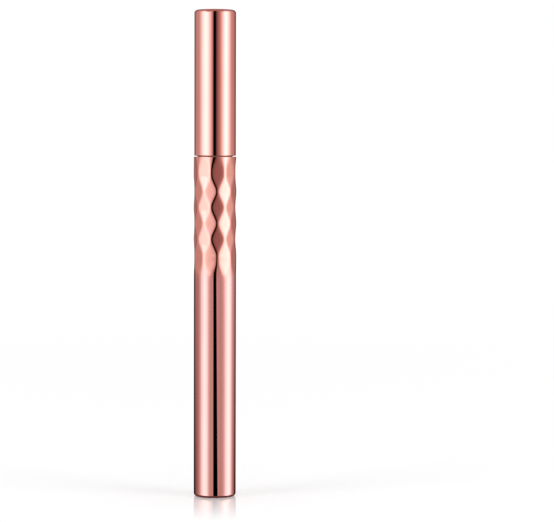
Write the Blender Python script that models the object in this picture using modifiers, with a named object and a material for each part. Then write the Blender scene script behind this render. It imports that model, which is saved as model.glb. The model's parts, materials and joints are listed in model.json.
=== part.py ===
"""Liquid eyeliner pen with a faceted grip, a free-ink feed and a pull-off cap.

The pen stands on its base along +Z, with the origin at the centre of the base and the front towards -Y.
All lengths are in metres. Radii step inwards from the barrel and outwards from the nib, and heights
build up from the base.
"""

import math

import bpy
from mathutils import Matrix

MM = 0.001

# Clearances between pieces
PARTING_GAP = 0.3 * MM
SEAT_GAP = 0.2 * MM
SLIDE_FIT = 0.15 * MM
CLICK_FIT = 0.14 * MM
PLUG_FIT = 0.1 * MM

# Barrel
BARREL_RADIUS = 6.0 * MM
BARREL_LENGTH = 97.25 * MM
BARREL_WALL = 0.95 * MM
BARREL_FLOOR = 1.6 * MM
BASE_FILLET = 1.2 * MM
RIM_BEVEL = 0.3 * MM

# Grip: staggered rows of shallow scoops, as a large round cutter leaves them
GRIP_FACETS = 9
GRIP_ROWS = 6
GRIP_ROW_PITCH = 4.53 * MM
GRIP_FIRST_ROW_DROP = 5.3 * MM
GRIP_END_RUN = 1.3 * MM
GRIP_SWELL = 0.12 * MM
GRIP_TURN_DEG = 8.7
RINGS_PER_ROW = 4
RIDGE_SWING_SHARE = 0.85
RIDGE_TIGHTNESS_SHARE = 0.95

# Neck sleeve, seen between the barrel and the black front section
NECK_PROUD = 0.1 * MM
NECK_HEIGHT = 4.55 * MM
NECK_FILLET = 0.45 * MM
NECK_TAIL = 9.0 * MM
NECK_TAIL_WALL = 0.55 * MM

# Holder base, the lower half of the black front section
FLANGE_PROUD = 0.13 * MM
FLANGE_HEIGHT = 0.9 * MM
FLANGE_FILLET = 0.12 * MM
LOWER_RING_STEP = 0.4 * MM
LOWER_RING_HEIGHT = 2.35 * MM
LOWER_RING_DRAFT = 0.07 * MM
HOLDER_WALL = 1.0 * MM
HOLDER_DEPTH = 12.65 * MM
HOLDER_LEDGE = 0.6 * MM
TAIL_LENGTH = 6.0 * MM
TAIL_WALL = 1.55 * MM

# Seal ring on the flange
SEAL_RING_PROUD = 0.08 * MM
SEAL_RING_DEPTH = 0.45 * MM
SEAL_RING_HEIGHT = 1.0 * MM
SEAL_RING_FILLET = 0.12 * MM

# Nib holder, the upper half of the black front section
COLLAR_STEP = 0.09 * MM
COLLAR_HEIGHT = 2.9 * MM
COLLAR_CHAMFER = 0.25 * MM
LIP_PROUD = 0.17 * MM
LIP_HEIGHT = 0.6 * MM
CONE_STEP = 0.59 * MM
CONE_HEIGHT = 11.75 * MM
CONE_FILLET = 0.2 * MM
CONE_STRAIGHT_SHARE = 0.3
CONE_FLARE_POWER = 3.5
HOLDER_PLUG = 4.0 * MM
THROAT_CLEARANCE = 0.65 * MM
NOSE_WALL = 0.68 * MM
NOSE_DEPTH = 4.0 * MM

# Nib sleeve and nib
SLEEVE_PROUD = 0.2 * MM
SLEEVE_DRAFT = 0.08 * MM
SLEEVE_HEIGHT = 3.45 * MM
SLEEVE_FILLET = 0.2 * MM
SLEEVE_WALL = 0.55 * MM
NIB_RADIUS = 1.0 * MM
NIB_LENGTH = 8.1 * MM
NIB_ROOT = 8.5 * MM
NIB_TIP_RADIUS = 0.07 * MM
NIB_BELLY_SHARE = 0.06

# Ink tank and feed
TANK_WALL = 0.75 * MM
TANK_PLUG_HEAD = 1.0 * MM
TANK_PLUG_LENGTH = 4.0 * MM
TANK_PLUG_WALL = 1.0 * MM
CORD_RADIUS = 0.28 * MM
ROD_STEP = 0.15 * MM
ROD_DIP = 12.6 * MM
COLLECTOR_WALL = 0.75 * MM
COLLECTOR_FINS = 11
COLLECTOR_FIN_SHARE = 0.45

# Cap
CAP_STEP = 0.1 * MM
CAP_HEADROOM = 6.1 * MM
CAP_WALL = 0.5 * MM
CAP_END_WALL = 1.0 * MM
CAP_FILLET = 0.85 * MM
CAP_DOME = 0.12 * MM
CAP_MOUTH_BEVEL = 0.25 * MM
LINER_WALL = 0.4 * MM
LINER_END_WALL = 0.8 * MM
CLICK_BEAD_HEIGHT = 0.8 * MM
CLICK_BEAD_DROP = 1.0 * MM
STOP_RIB_HEIGHT = 0.7 * MM
INNER_CAP_TRAVEL = 1.2 * MM
INNER_CAP_WALL = 0.6 * MM
INNER_CAP_FLANGE = 0.8 * MM
INNER_CAP_RISE = 3.1 * MM
STEM_CLEARANCE = 0.35 * MM
TIP_CLEARANCE = 1.1 * MM
SPRING_WIRE_RADIUS = 0.22 * MM
SPRING_CURLS = 8
SPRING_CURL_POINTS = 8

# Facets round the pieces
LARGE_STEPS = 4 * GRIP_FACETS
MEDIUM_STEPS = 28
SMALL_STEPS = 20
ROD_STEPS = 12
BALL_RINGS = 8
CORD_STEPS = 6
FILLET_STEPS = 3
CONE_RINGS = 8
NIB_RINGS = 7
SHARP_ANGLE_DEG = 25
MERGE_DISTANCE = 0.01 * MM

# Radii of the shells and the front section, from the barrel inwards
BARREL_BORE = BARREL_RADIUS - BARREL_WALL
NECK_RADIUS = BARREL_BORE + NECK_PROUD
NECK_TAIL_RADIUS = BARREL_BORE - PLUG_FIT
NECK_BORE = NECK_TAIL_RADIUS - NECK_TAIL_WALL
FLANGE_RADIUS = NECK_BORE + FLANGE_PROUD
HOLDER_RADIUS = NECK_BORE - PLUG_FIT
HOLDER_BORE = HOLDER_RADIUS - HOLDER_WALL
LOWER_RING_RADIUS = FLANGE_RADIUS - LOWER_RING_STEP
SEAL_RING_RADIUS = LOWER_RING_RADIUS + SEAL_RING_PROUD
SEAL_RING_BORE = SEAL_RING_RADIUS - SEAL_RING_DEPTH
COLLAR_RADIUS = LOWER_RING_RADIUS - COLLAR_STEP
LIP_RADIUS = COLLAR_RADIUS + LIP_PROUD
CONE_BASE_RADIUS = COLLAR_RADIUS - CONE_STEP
TANK_RADIUS = BARREL_BORE - PLUG_FIT - SLIDE_FIT
TANK_BORE = TANK_RADIUS - TANK_WALL
TAIL_RADIUS = TANK_BORE - PLUG_FIT
TAIL_BORE = TAIL_RADIUS - TAIL_WALL

# Radii of the nib, its sleeve, the cone's nose and the feed, from the nib outwards
SLEEVE_BORE = NIB_RADIUS + PLUG_FIT
SLEEVE_TAIL_RADIUS = SLEEVE_BORE + SLEEVE_WALL
NOSE_BORE = SLEEVE_TAIL_RADIUS + PLUG_FIT
SLEEVE_RADIUS = NOSE_BORE + SLEEVE_PROUD
CONE_TOP_RADIUS = NOSE_BORE + NOSE_WALL
ROD_RADIUS = NIB_RADIUS - ROD_STEP
THROAT_BORE = ROD_RADIUS + THROAT_CLEARANCE
COLLECTOR_RADIUS = HOLDER_BORE - SEAT_GAP
COLLECTOR_BORE = ROD_RADIUS + PLUG_FIT
COLLECTOR_CORE = COLLECTOR_BORE + COLLECTOR_WALL
BALL_RADIUS = (TANK_BORE - ROD_RADIUS) / 2 - PLUG_FIT

# Radii of the cap and what is in it
CAP_RADIUS = BARREL_RADIUS - CAP_STEP
CAP_BORE = CAP_RADIUS - CAP_WALL
LINER_RADIUS = CAP_BORE - PLUG_FIT
LINER_BORE = LINER_RADIUS - LINER_WALL
RIB_BORE = LIP_RADIUS + CLICK_FIT
INNER_CAP_FLANGE_RADIUS = LINER_BORE - SLIDE_FIT
INNER_CAP_BORE = CONE_BASE_RADIUS + PLUG_FIT + SLIDE_FIT
INNER_CAP_RADIUS = INNER_CAP_BORE + INNER_CAP_WALL
STEM_BORE = SLEEVE_RADIUS + STEM_CLEARANCE
STEM_RADIUS = STEM_BORE + INNER_CAP_WALL
SPRING_RADIUS = STEM_RADIUS + SPRING_WIRE_RADIUS + 2 * SLIDE_FIT

# Heights of the pen, from the base up
RIM_Z = BARREL_LENGTH
NECK_BOTTOM_Z = RIM_Z - NECK_TAIL
NECK_SHOULDER_Z = RIM_Z + SEAT_GAP
NECK_TOP_Z = NECK_SHOULDER_Z + NECK_HEIGHT
SHOULDER_Z = RIM_Z - HOLDER_DEPTH
TAIL_Z = SHOULDER_Z - TAIL_LENGTH
TAIL_MIDDLE_Z = (SHOULDER_Z + TAIL_Z) / 2
LEDGE_Z = SHOULDER_Z + HOLDER_LEDGE
FLANGE_Z = NECK_TOP_Z + SLIDE_FIT
FLANGE_TOP_Z = FLANGE_Z + FLANGE_HEIGHT
SEAL_RING_Z = FLANGE_TOP_Z + PLUG_FIT
SEAL_RING_TOP_Z = SEAL_RING_Z + SEAL_RING_HEIGHT
LOWER_RING_Z = SEAL_RING_TOP_Z + PLUG_FIT
HOLDER_TOP_Z = LOWER_RING_Z + LOWER_RING_HEIGHT
HOLDER_PLUG_Z = HOLDER_TOP_Z - HOLDER_PLUG
COLLAR_Z = HOLDER_TOP_Z + SLIDE_FIT
CONE_Z = COLLAR_Z + COLLAR_HEIGHT
CONE_TOP_Z = CONE_Z + CONE_HEIGHT
NOSE_Z = CONE_TOP_Z - NOSE_DEPTH
SLEEVE_TAIL_Z = NOSE_Z + SEAT_GAP
SLEEVE_Z = CONE_TOP_Z + SLIDE_FIT
SLEEVE_TOP_Z = SLEEVE_Z + SLEEVE_HEIGHT
NIB_TIP_Z = SLEEVE_TOP_Z + NIB_LENGTH
NIB_ROOT_Z = SLEEVE_TOP_Z - NIB_ROOT
TANK_PLUG_Z = BARREL_FLOOR + SEAT_GAP
TANK_PLUG_HEAD_Z = TANK_PLUG_Z + TANK_PLUG_HEAD
TANK_PLUG_TOP_Z = TANK_PLUG_HEAD_Z + TANK_PLUG_LENGTH
TANK_Z = TANK_PLUG_HEAD_Z + SEAT_GAP
TANK_TOP_Z = SHOULDER_Z - SEAT_GAP
COLLECTOR_Z = LEDGE_Z + SEAT_GAP
COLLECTOR_TOP_Z = HOLDER_PLUG_Z - SEAT_GAP
ROD_TOP_Z = NIB_ROOT_Z - SEAT_GAP
ROD_Z = TAIL_Z - ROD_DIP

# Heights of the cap, closed on the pen
CAP_Z = RIM_Z + PARTING_GAP
CAP_TOP_Z = NIB_TIP_Z + CAP_HEADROOM
CAP_CEILING_Z = CAP_TOP_Z - CAP_END_WALL
LINER_Z = NECK_TOP_Z + 2 * SEAT_GAP
LINER_TOP_Z = CAP_CEILING_Z - SEAT_GAP
LINER_CEILING_Z = LINER_TOP_Z - LINER_END_WALL
CLICK_BEAD_TOP_Z = COLLAR_Z + LIP_HEIGHT - CLICK_BEAD_DROP
CLICK_BEAD_Z = CLICK_BEAD_TOP_Z - CLICK_BEAD_HEIGHT
INNER_CAP_Z = CONE_Z + SEAT_GAP
INNER_CAP_FLANGE_Z = INNER_CAP_Z + INNER_CAP_FLANGE
INNER_CAP_SHOULDER_Z = CONE_TOP_Z + INNER_CAP_RISE
INNER_CAP_CEILING_Z = NIB_TIP_Z + TIP_CLEARANCE
INNER_CAP_TOP_Z = INNER_CAP_CEILING_Z + INNER_CAP_WALL
STOP_RIB_TOP_Z = INNER_CAP_Z - INNER_CAP_TRAVEL - SLIDE_FIT
STOP_RIB_Z = STOP_RIB_TOP_Z - STOP_RIB_HEIGHT

# Rows of the grip
FIRST_ROW_Z = RIM_Z - GRIP_FIRST_ROW_DROP
LAST_ROW_Z = FIRST_ROW_Z - (GRIP_ROWS - 1) * GRIP_ROW_PITCH
GRIP_TOP_Z = RIM_Z - 2 * RIM_BEVEL
GRIP_BOTTOM_Z = LAST_ROW_Z - GRIP_ROW_PITCH - GRIP_END_RUN
FACET_ANGLE = 2 * math.pi / GRIP_FACETS


def material(name, color, roughness, metallic):
    """Make one plain Principled material."""
    made = bpy.data.materials.new(name)
    made.use_nodes = True
    shader = made.node_tree.nodes["Principled BSDF"]
    shader.inputs["Base Color"].default_value = (*color, 1.0)
    shader.inputs["Roughness"].default_value = roughness
    shader.inputs["Metallic"].default_value = metallic
    made.diffuse_color = (*color, 1.0)
    return made


def rose_gold():
    """Mirror plating on the barrel, the neck and the cap."""
    return material("rose_gold", (0.84, 0.50, 0.43), 0.12, 1.0)


def black_plastic():
    """Satin black of the front section."""
    return material("black_plastic", (0.012, 0.012, 0.013), 0.32, 0.0)


def black_rubber():
    """Soft black of the seals."""
    return material("black_rubber", (0.015, 0.014, 0.016), 0.6, 0.0)


def black_fibre():
    """Inked fibre of the nib."""
    return material("black_fibre", (0.008, 0.008, 0.009), 0.5, 0.0)


def natural_plastic():
    """Milky uncoloured plastic of the hidden pieces."""
    return material("natural_plastic", (0.82, 0.82, 0.8), 0.4, 0.0)


def wick_fibre():
    """Ink-soaked fibre of the feed rod."""
    return material("wick_fibre", (0.05, 0.05, 0.055), 0.8, 0.0)


def steel():
    """Bright steel of the spring and the mixing balls."""
    return material("steel", (0.7, 0.7, 0.71), 0.25, 1.0)


def add_part(name, data, made_of, parts):
    """Put a mesh or curve in the collection as one named piece."""
    data.name = name
    data.materials.clear()
    data.materials.append(made_of)
    part = bpy.data.objects.new(name, data)
    parts.objects.link(part)
    return part


def adopt(part, made_of, parts):
    """Move a fresh primitive into the collection with its material."""
    part.data.name = part.name
    part.data.materials.append(made_of)
    part.data.shade_smooth()
    for collection in list(part.users_collection):
        collection.objects.unlink(part)
    parts.objects.link(part)


def turned_mesh(profile, steps, parts):
    """Turn a profile, which runs down its outer side, about the Z axis and return the mesh."""
    edges = [(index, index + 1) for index in range(len(profile) - 1)]
    if profile[0][0] > 0:
        edges.append((len(profile) - 1, 0))
    outline = bpy.data.meshes.new("outline")
    outline.from_pydata([(r, 0.0, z) for r, z in profile], edges, [])
    blank = bpy.data.objects.new("blank", outline)
    parts.objects.link(blank)
    screw = blank.modifiers.new("turn", "SCREW")
    screw.steps = steps
    screw.render_steps = steps
    screw.use_merge_vertices = True
    screw.merge_threshold = MERGE_DISTANCE
    graph = bpy.context.evaluated_depsgraph_get()
    mesh = bpy.data.meshes.new_from_object(blank.evaluated_get(graph))
    bpy.data.objects.remove(blank)
    bpy.data.meshes.remove(outline)
    return mesh


def smooth_round_faces(mesh):
    """Shade the round faces smooth and keep the edges crisp."""
    mesh.shade_smooth()
    mesh.set_sharp_from_angle(angle=math.radians(SHARP_ANGLE_DEG))


def turned(name, profile, steps, made_of, parts):
    """Make a turned piece."""
    mesh = turned_mesh(profile, steps, parts)
    smooth_round_faces(mesh)
    return add_part(name, mesh, made_of, parts)


def arc(centre_r, centre_z, radius, start_deg, end_deg):
    """Points of an arc in the radius and height plane, ends included."""
    points = []
    for step in range(FILLET_STEPS + 1):
        angle = math.radians(start_deg + (end_deg - start_deg) * step / FILLET_STEPS)
        points.append((centre_r + radius * math.cos(angle), centre_z + radius * math.sin(angle)))
    return points


def top_corner(radius, z, fillet):
    """Rounded outer corner at the top of a turned profile."""
    return arc(radius - fillet, z - fillet, fillet, 90, 0)


def grip_levels():
    """Heights of the barrel's rings through the grip, top to bottom."""
    levels = []
    for index in range(RINGS_PER_ROW):
        levels.append(GRIP_TOP_Z + (FIRST_ROW_Z - GRIP_TOP_Z) * index / RINGS_PER_ROW)
    for index in range((GRIP_ROWS - 1) * RINGS_PER_ROW + 1):
        levels.append(FIRST_ROW_Z - GRIP_ROW_PITCH * index / RINGS_PER_ROW)
    run_out_rings = RINGS_PER_ROW + 1
    for index in range(1, run_out_rings + 1):
        levels.append(LAST_ROW_Z + (GRIP_BOTTOM_Z - LAST_ROW_Z) * index / run_out_rings)
    return levels


def swell(z):
    """How far the grip's ridges stand proud of the plain barrel at a height."""
    rise = (GRIP_TOP_Z - z) / (GRIP_TOP_Z - FIRST_ROW_Z)
    fall = (z - GRIP_BOTTOM_Z) / (LAST_ROW_Z - GRIP_BOTTOM_Z)
    share = max(0.0, min(rise, fall, 1.0))
    return GRIP_SWELL * share * share * (3 - 2 * share)


def scoop_distance(row, z):
    """Distance from the axis to a row's scoops along their middle line, at a height."""
    ridge = BARREL_RADIUS + GRIP_SWELL
    flat = ridge * math.cos(FACET_ANGLE / 2)
    away = z - (FIRST_ROW_Z - row * GRIP_ROW_PITCH)
    if row == 0 and away > 0:
        away = max(0.0, away - GRIP_END_RUN)
    if row == GRIP_ROWS - 1 and away < 0:
        away = min(0.0, away + GRIP_END_RUN)
    return flat + (ridge - flat) * (away / GRIP_ROW_PITCH) ** 2


def grip_radius(angle, z):
    """Radius of the grip at an angle from the middle of a first-row scoop, and a height."""
    radius = BARREL_RADIUS + swell(z)
    for row in range(GRIP_ROWS):
        stagger = FACET_ANGLE / 2 if row % 2 else 0.0
        off = (angle - stagger + FACET_ANGLE / 2) % FACET_ANGLE - FACET_ANGLE / 2
        radius = min(radius, scoop_distance(row, z) / math.cos(off))
    return radius


def ridge_swing(z):
    """How far the ridges lean to one side: 1 at the first row, -1 at the second, 0 at both ends."""
    row = max(0.0, min((FIRST_ROW_Z - z) / GRIP_ROW_PITCH, GRIP_ROWS - 1.0))
    lean = math.asin(RIDGE_TIGHTNESS_SHARE * math.cos(math.pi * row)) / math.asin(RIDGE_TIGHTNESS_SHARE)
    above = max(0.0, z - FIRST_ROW_Z) / (GRIP_TOP_Z - FIRST_ROW_Z)
    below = max(0.0, LAST_ROW_Z - z) / (LAST_ROW_Z - GRIP_BOTTOM_Z)
    return lean * (1 - above - below)


def carve_grip(mesh):
    """Lead the barrel's columns along the ridges and press the scoops in."""
    column = 2 * math.pi / LARGE_STEPS
    for vertex in mesh.vertices:
        x, y, z = vertex.co
        outside = math.hypot(x, y) > BARREL_BORE + MERGE_DISTANCE
        in_grip = GRIP_BOTTOM_Z - MERGE_DISTANCE < z < GRIP_TOP_Z + MERGE_DISTANCE
        if not (outside and in_grip):
            continue
        index = round(math.atan2(x, -y) / column)
        angle = index * column
        if index % 2:
            side = 1 if index % 4 == 1 else -1
            angle += side * RIDGE_SWING_SHARE * column * ridge_swing(z)
        radius = grip_radius(angle, z)
        vertex.co = (radius * math.sin(angle), -radius * math.cos(angle), z)


def barrel_shell(parts):
    """Blind round barrel, with the grip carved below its mouth."""
    profile = [(0.0, BARREL_FLOOR), (BARREL_BORE, BARREL_FLOOR), (BARREL_BORE, RIM_Z)]
    profile.append((BARREL_RADIUS - RIM_BEVEL, RIM_Z))
    profile.append((BARREL_RADIUS, RIM_Z - RIM_BEVEL))
    profile += [(BARREL_RADIUS, z) for z in grip_levels()]
    profile += arc(BARREL_RADIUS - BASE_FILLET, BASE_FILLET, BASE_FILLET, 0, -90)
    profile.append((0.0, 0.0))
    mesh = turned_mesh(profile, LARGE_STEPS, parts)
    carve_grip(mesh)
    mesh.transform(Matrix.Rotation(math.radians(GRIP_TURN_DEG), 4, "Z"))
    smooth_round_faces(mesh)
    add_part("barrel_shell", mesh, rose_gold(), parts)


def neck_sleeve(parts):
    """Plated ring that stands out of the barrel, with a tail pressed into its bore."""
    profile = [(NECK_BORE, NECK_BOTTOM_Z), (NECK_BORE, NECK_TOP_Z)]
    profile += top_corner(NECK_RADIUS, NECK_TOP_Z, NECK_FILLET)
    profile.append((NECK_RADIUS, NECK_SHOULDER_Z))
    profile.append((NECK_TAIL_RADIUS, NECK_SHOULDER_Z))
    profile.append((NECK_TAIL_RADIUS, NECK_BOTTOM_Z))
    turned("neck_sleeve", profile, LARGE_STEPS, rose_gold(), parts)


def cord_groove():
    """Outline of the O-ring's groove in the holder's tail, top to bottom."""
    half = CORD_RADIUS + PLUG_FIT
    floor = TANK_BORE - 2 * CORD_RADIUS - PLUG_FIT
    top = TAIL_MIDDLE_Z + half
    bottom = TAIL_MIDDLE_Z - half
    return [(TAIL_RADIUS, top), (floor, top), (floor, bottom), (TAIL_RADIUS, bottom)]


def holder_base(parts):
    """Black lower front section: lower ring, ring seat, flange, body and the tail in the tank."""
    profile = [(TAIL_BORE, TAIL_Z), (TAIL_BORE, LEDGE_Z), (HOLDER_BORE, LEDGE_Z)]
    profile.append((HOLDER_BORE, HOLDER_TOP_Z))
    profile.append((LOWER_RING_RADIUS - LOWER_RING_DRAFT, HOLDER_TOP_Z))
    profile.append((LOWER_RING_RADIUS, LOWER_RING_Z))
    profile.append((SEAL_RING_BORE - PLUG_FIT, LOWER_RING_Z))
    profile.append((SEAL_RING_BORE - PLUG_FIT, FLANGE_TOP_Z))
    profile.append((FLANGE_RADIUS - FLANGE_FILLET, FLANGE_TOP_Z))
    profile.append((FLANGE_RADIUS, FLANGE_TOP_Z - FLANGE_FILLET))
    profile.append((FLANGE_RADIUS, FLANGE_Z))
    profile.append((HOLDER_RADIUS, FLANGE_Z))
    profile.append((HOLDER_RADIUS, SHOULDER_Z))
    profile.append((TAIL_RADIUS, SHOULDER_Z))
    profile += cord_groove()
    profile.append((TAIL_RADIUS, TAIL_Z))
    turned("holder_base", profile, MEDIUM_STEPS, black_plastic(), parts)


def seal_ring(parts):
    """Thin soft ring seated on the flange."""
    profile = [(SEAL_RING_BORE, SEAL_RING_Z), (SEAL_RING_BORE, SEAL_RING_TOP_Z)]
    profile.append((SEAL_RING_RADIUS - SEAL_RING_FILLET, SEAL_RING_TOP_Z))
    profile.append((SEAL_RING_RADIUS, SEAL_RING_TOP_Z - SEAL_RING_FILLET))
    profile.append((SEAL_RING_RADIUS, SEAL_RING_Z + SEAL_RING_FILLET))
    profile.append((SEAL_RING_RADIUS - SEAL_RING_FILLET, SEAL_RING_Z))
    turned("seal_ring", profile, MEDIUM_STEPS, black_rubber(), parts)


def cone_radius(share):
    """Radius of the concave cone, from 0 at its nose to 1 at its foot."""
    flare = CONE_BASE_RADIUS - CONE_TOP_RADIUS
    curved = (1 - CONE_STRAIGHT_SHARE) * share ** CONE_FLARE_POWER
    return CONE_TOP_RADIUS + flare * (CONE_STRAIGHT_SHARE * share + curved)


def nib_holder(parts):
    """Black upper front section: collar with the click lip, concave cone, and the plug below."""
    profile = [(THROAT_BORE, HOLDER_PLUG_Z), (THROAT_BORE, NOSE_Z)]
    profile += [(NOSE_BORE, NOSE_Z), (NOSE_BORE, CONE_TOP_Z)]
    profile.append((CONE_TOP_RADIUS - CONE_FILLET, CONE_TOP_Z))
    for index in range(CONE_RINGS + 1):
        drop = CONE_FILLET + (CONE_HEIGHT - CONE_FILLET) * index / CONE_RINGS
        profile.append((cone_radius(drop / CONE_HEIGHT), CONE_TOP_Z - drop))
    profile.append((COLLAR_RADIUS - COLLAR_CHAMFER, CONE_Z))
    profile.append((COLLAR_RADIUS, CONE_Z - COLLAR_CHAMFER))
    profile.append((COLLAR_RADIUS + LIP_PROUD / 3, COLLAR_Z + 2 * LIP_HEIGHT))
    profile.append((LIP_RADIUS, COLLAR_Z + LIP_HEIGHT))
    profile.append((COLLAR_RADIUS, COLLAR_Z))
    profile.append((HOLDER_BORE - PLUG_FIT, COLLAR_Z))
    profile.append((HOLDER_BORE - PLUG_FIT, HOLDER_PLUG_Z))
    turned("nib_holder", profile, MEDIUM_STEPS, black_plastic(), parts)


def nib_sleeve(parts):
    """Small black step in front of the cone, with a tail in its nose and a bore for the nib."""
    profile = [(SLEEVE_BORE, SLEEVE_TAIL_Z), (SLEEVE_BORE, SLEEVE_TOP_Z)]
    profile += top_corner(SLEEVE_RADIUS - SLEEVE_DRAFT, SLEEVE_TOP_Z, SLEEVE_FILLET)
    profile.append((SLEEVE_RADIUS, SLEEVE_Z))
    profile.append((SLEEVE_TAIL_RADIUS, SLEEVE_Z))
    profile.append((SLEEVE_TAIL_RADIUS, SLEEVE_TAIL_Z))
    turned("nib_sleeve", profile, SMALL_STEPS, black_plastic(), parts)


def nib_radius(share):
    """Radius of the nib's point, from 0 at the tip to 1 at its foot, with a slight belly."""
    straight = NIB_TIP_RADIUS + (NIB_RADIUS - NIB_TIP_RADIUS) * share
    return straight + 4 * NIB_BELLY_SHARE * NIB_RADIUS * share * (1 - share)


def nib(parts):
    """Fine fibre point with a straight root that runs down inside its sleeve."""
    profile = [(0.0, NIB_TIP_Z)]
    for index in range(NIB_RINGS + 1):
        drop = NIB_TIP_RADIUS + (NIB_LENGTH - NIB_TIP_RADIUS) * index / NIB_RINGS
        profile.append((nib_radius(index / NIB_RINGS), NIB_TIP_Z - drop))
    profile += [(NIB_RADIUS, NIB_ROOT_Z), (0.0, NIB_ROOT_Z)]
    turned("nib", profile, SMALL_STEPS, black_fibre(), parts)


def ink_tank(parts):
    """Plain tube for the ink, open at both ends."""
    profile = [(TANK_BORE, TANK_Z), (TANK_BORE, TANK_TOP_Z), (TANK_RADIUS, TANK_TOP_Z), (TANK_RADIUS, TANK_Z)]
    turned("ink_tank", profile, MEDIUM_STEPS, natural_plastic(), parts)


def tank_plug(parts):
    """Plug pressed into the tank's lower end, hollow from below."""
    hollow = TAIL_RADIUS - TANK_PLUG_WALL
    hollow_top = TANK_PLUG_TOP_Z - TANK_PLUG_WALL
    profile = [(0.0, TANK_PLUG_TOP_Z), (TAIL_RADIUS, TANK_PLUG_TOP_Z), (TAIL_RADIUS, TANK_PLUG_HEAD_Z)]
    profile += [(TANK_RADIUS, TANK_PLUG_HEAD_Z), (TANK_RADIUS, TANK_PLUG_Z)]
    profile += [(hollow, TANK_PLUG_Z), (hollow, hollow_top), (0.0, hollow_top)]
    turned("tank_plug", profile, MEDIUM_STEPS, natural_plastic(), parts)


def tank_seal(parts):
    """O-ring between the holder's tail and the tank's bore."""
    bpy.ops.mesh.primitive_torus_add(
        major_segments=MEDIUM_STEPS,
        minor_segments=CORD_STEPS,
        major_radius=TANK_BORE - CORD_RADIUS - PLUG_FIT / 2,
        minor_radius=CORD_RADIUS,
        location=(0.0, 0.0, TAIL_MIDDLE_Z),
    )
    ring = bpy.context.object
    ring.name = "tank_seal"
    adopt(ring, black_rubber(), parts)


def collector(parts):
    """Comb of thin discs on a hollow core, which holds back surplus ink."""
    pitch = (COLLECTOR_TOP_Z - COLLECTOR_Z) / (COLLECTOR_FINS - 1 + COLLECTOR_FIN_SHARE)
    fin = pitch * COLLECTOR_FIN_SHARE
    profile = [(COLLECTOR_BORE, COLLECTOR_Z), (COLLECTOR_BORE, COLLECTOR_TOP_Z)]
    for index in range(COLLECTOR_FINS):
        top = COLLECTOR_TOP_Z - index * pitch
        profile += [(COLLECTOR_RADIUS, top), (COLLECTOR_RADIUS, top - fin)]
        if index < COLLECTOR_FINS - 1:
            profile += [(COLLECTOR_CORE, top - fin), (COLLECTOR_CORE, top - pitch)]
    turned("collector", profile, SMALL_STEPS, natural_plastic(), parts)


def feed_rod(parts):
    """Fibre rod from the ink to the nib's root."""
    profile = [(0.0, ROD_TOP_Z), (ROD_RADIUS, ROD_TOP_Z), (ROD_RADIUS, ROD_Z), (0.0, ROD_Z)]
    turned("feed_rod", profile, ROD_STEPS, wick_fibre(), parts)


def mixing_balls(parts):
    """Two loose steel balls on the tank's plug, clear of the feed rod's line."""
    side = (TANK_BORE + ROD_RADIUS) / 2
    height = TANK_PLUG_TOP_Z + PLUG_FIT + BALL_RADIUS
    made_of = steel()
    for number, x in ((1, -side), (2, side)):
        bpy.ops.mesh.primitive_uv_sphere_add(
            segments=ROD_STEPS, ring_count=BALL_RINGS, radius=BALL_RADIUS, location=(x, 0.0, height))
        ball = bpy.context.object
        ball.name = f"mixing_ball_{number}"
        adopt(ball, made_of, parts)


def cap_shell(parts):
    """Plated cap with a softly domed end and a bevelled mouth."""
    profile = [(0.0, CAP_TOP_Z)]
    profile += top_corner(CAP_RADIUS, CAP_TOP_Z - CAP_DOME, CAP_FILLET)
    profile.append((CAP_RADIUS, CAP_Z + CAP_MOUTH_BEVEL))
    profile.append((CAP_RADIUS - CAP_MOUTH_BEVEL, CAP_Z))
    profile += [(CAP_BORE, CAP_Z), (CAP_BORE, CAP_CEILING_Z), (0.0, CAP_CEILING_Z)]
    turned("cap_shell", profile, LARGE_STEPS, rose_gold(), parts)


def cap_liner(parts):
    """Blind liner pressed into the cap, with the click bead and the inner cap's stop rib."""
    bead_middle = (CLICK_BEAD_Z + CLICK_BEAD_TOP_Z) / 2
    profile = [(0.0, LINER_TOP_Z), (LINER_RADIUS, LINER_TOP_Z), (LINER_RADIUS, LINER_Z)]
    profile += [(LINER_BORE, LINER_Z), (LINER_BORE, CLICK_BEAD_Z), (RIB_BORE, bead_middle)]
    profile += [(LINER_BORE, CLICK_BEAD_TOP_Z), (LINER_BORE, STOP_RIB_Z), (RIB_BORE, STOP_RIB_Z)]
    profile += [(RIB_BORE, STOP_RIB_TOP_Z), (LINER_BORE, STOP_RIB_TOP_Z)]
    profile += [(LINER_BORE, LINER_CEILING_Z), (0.0, LINER_CEILING_Z)]
    turned("cap_liner", profile, MEDIUM_STEPS, natural_plastic(), parts)


def inner_cap(parts):
    """Stepped cup over the nib: flange at its mouth, shoulder for the spring, narrow stem."""
    step_z = INNER_CAP_SHOULDER_Z - INNER_CAP_WALL
    profile = [(0.0, INNER_CAP_TOP_Z), (STEM_RADIUS, INNER_CAP_TOP_Z), (STEM_RADIUS, INNER_CAP_SHOULDER_Z)]
    profile += [(INNER_CAP_RADIUS, INNER_CAP_SHOULDER_Z), (INNER_CAP_RADIUS, INNER_CAP_FLANGE_Z)]
    profile += [(INNER_CAP_FLANGE_RADIUS, INNER_CAP_FLANGE_Z), (INNER_CAP_FLANGE_RADIUS, INNER_CAP_Z)]
    profile += [(INNER_CAP_BORE, INNER_CAP_Z), (INNER_CAP_BORE, step_z), (STEM_BORE, step_z)]
    profile += [(STEM_BORE, INNER_CAP_CEILING_Z), (0.0, INNER_CAP_CEILING_Z)]
    turned("inner_cap", profile, MEDIUM_STEPS, natural_plastic(), parts)


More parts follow.
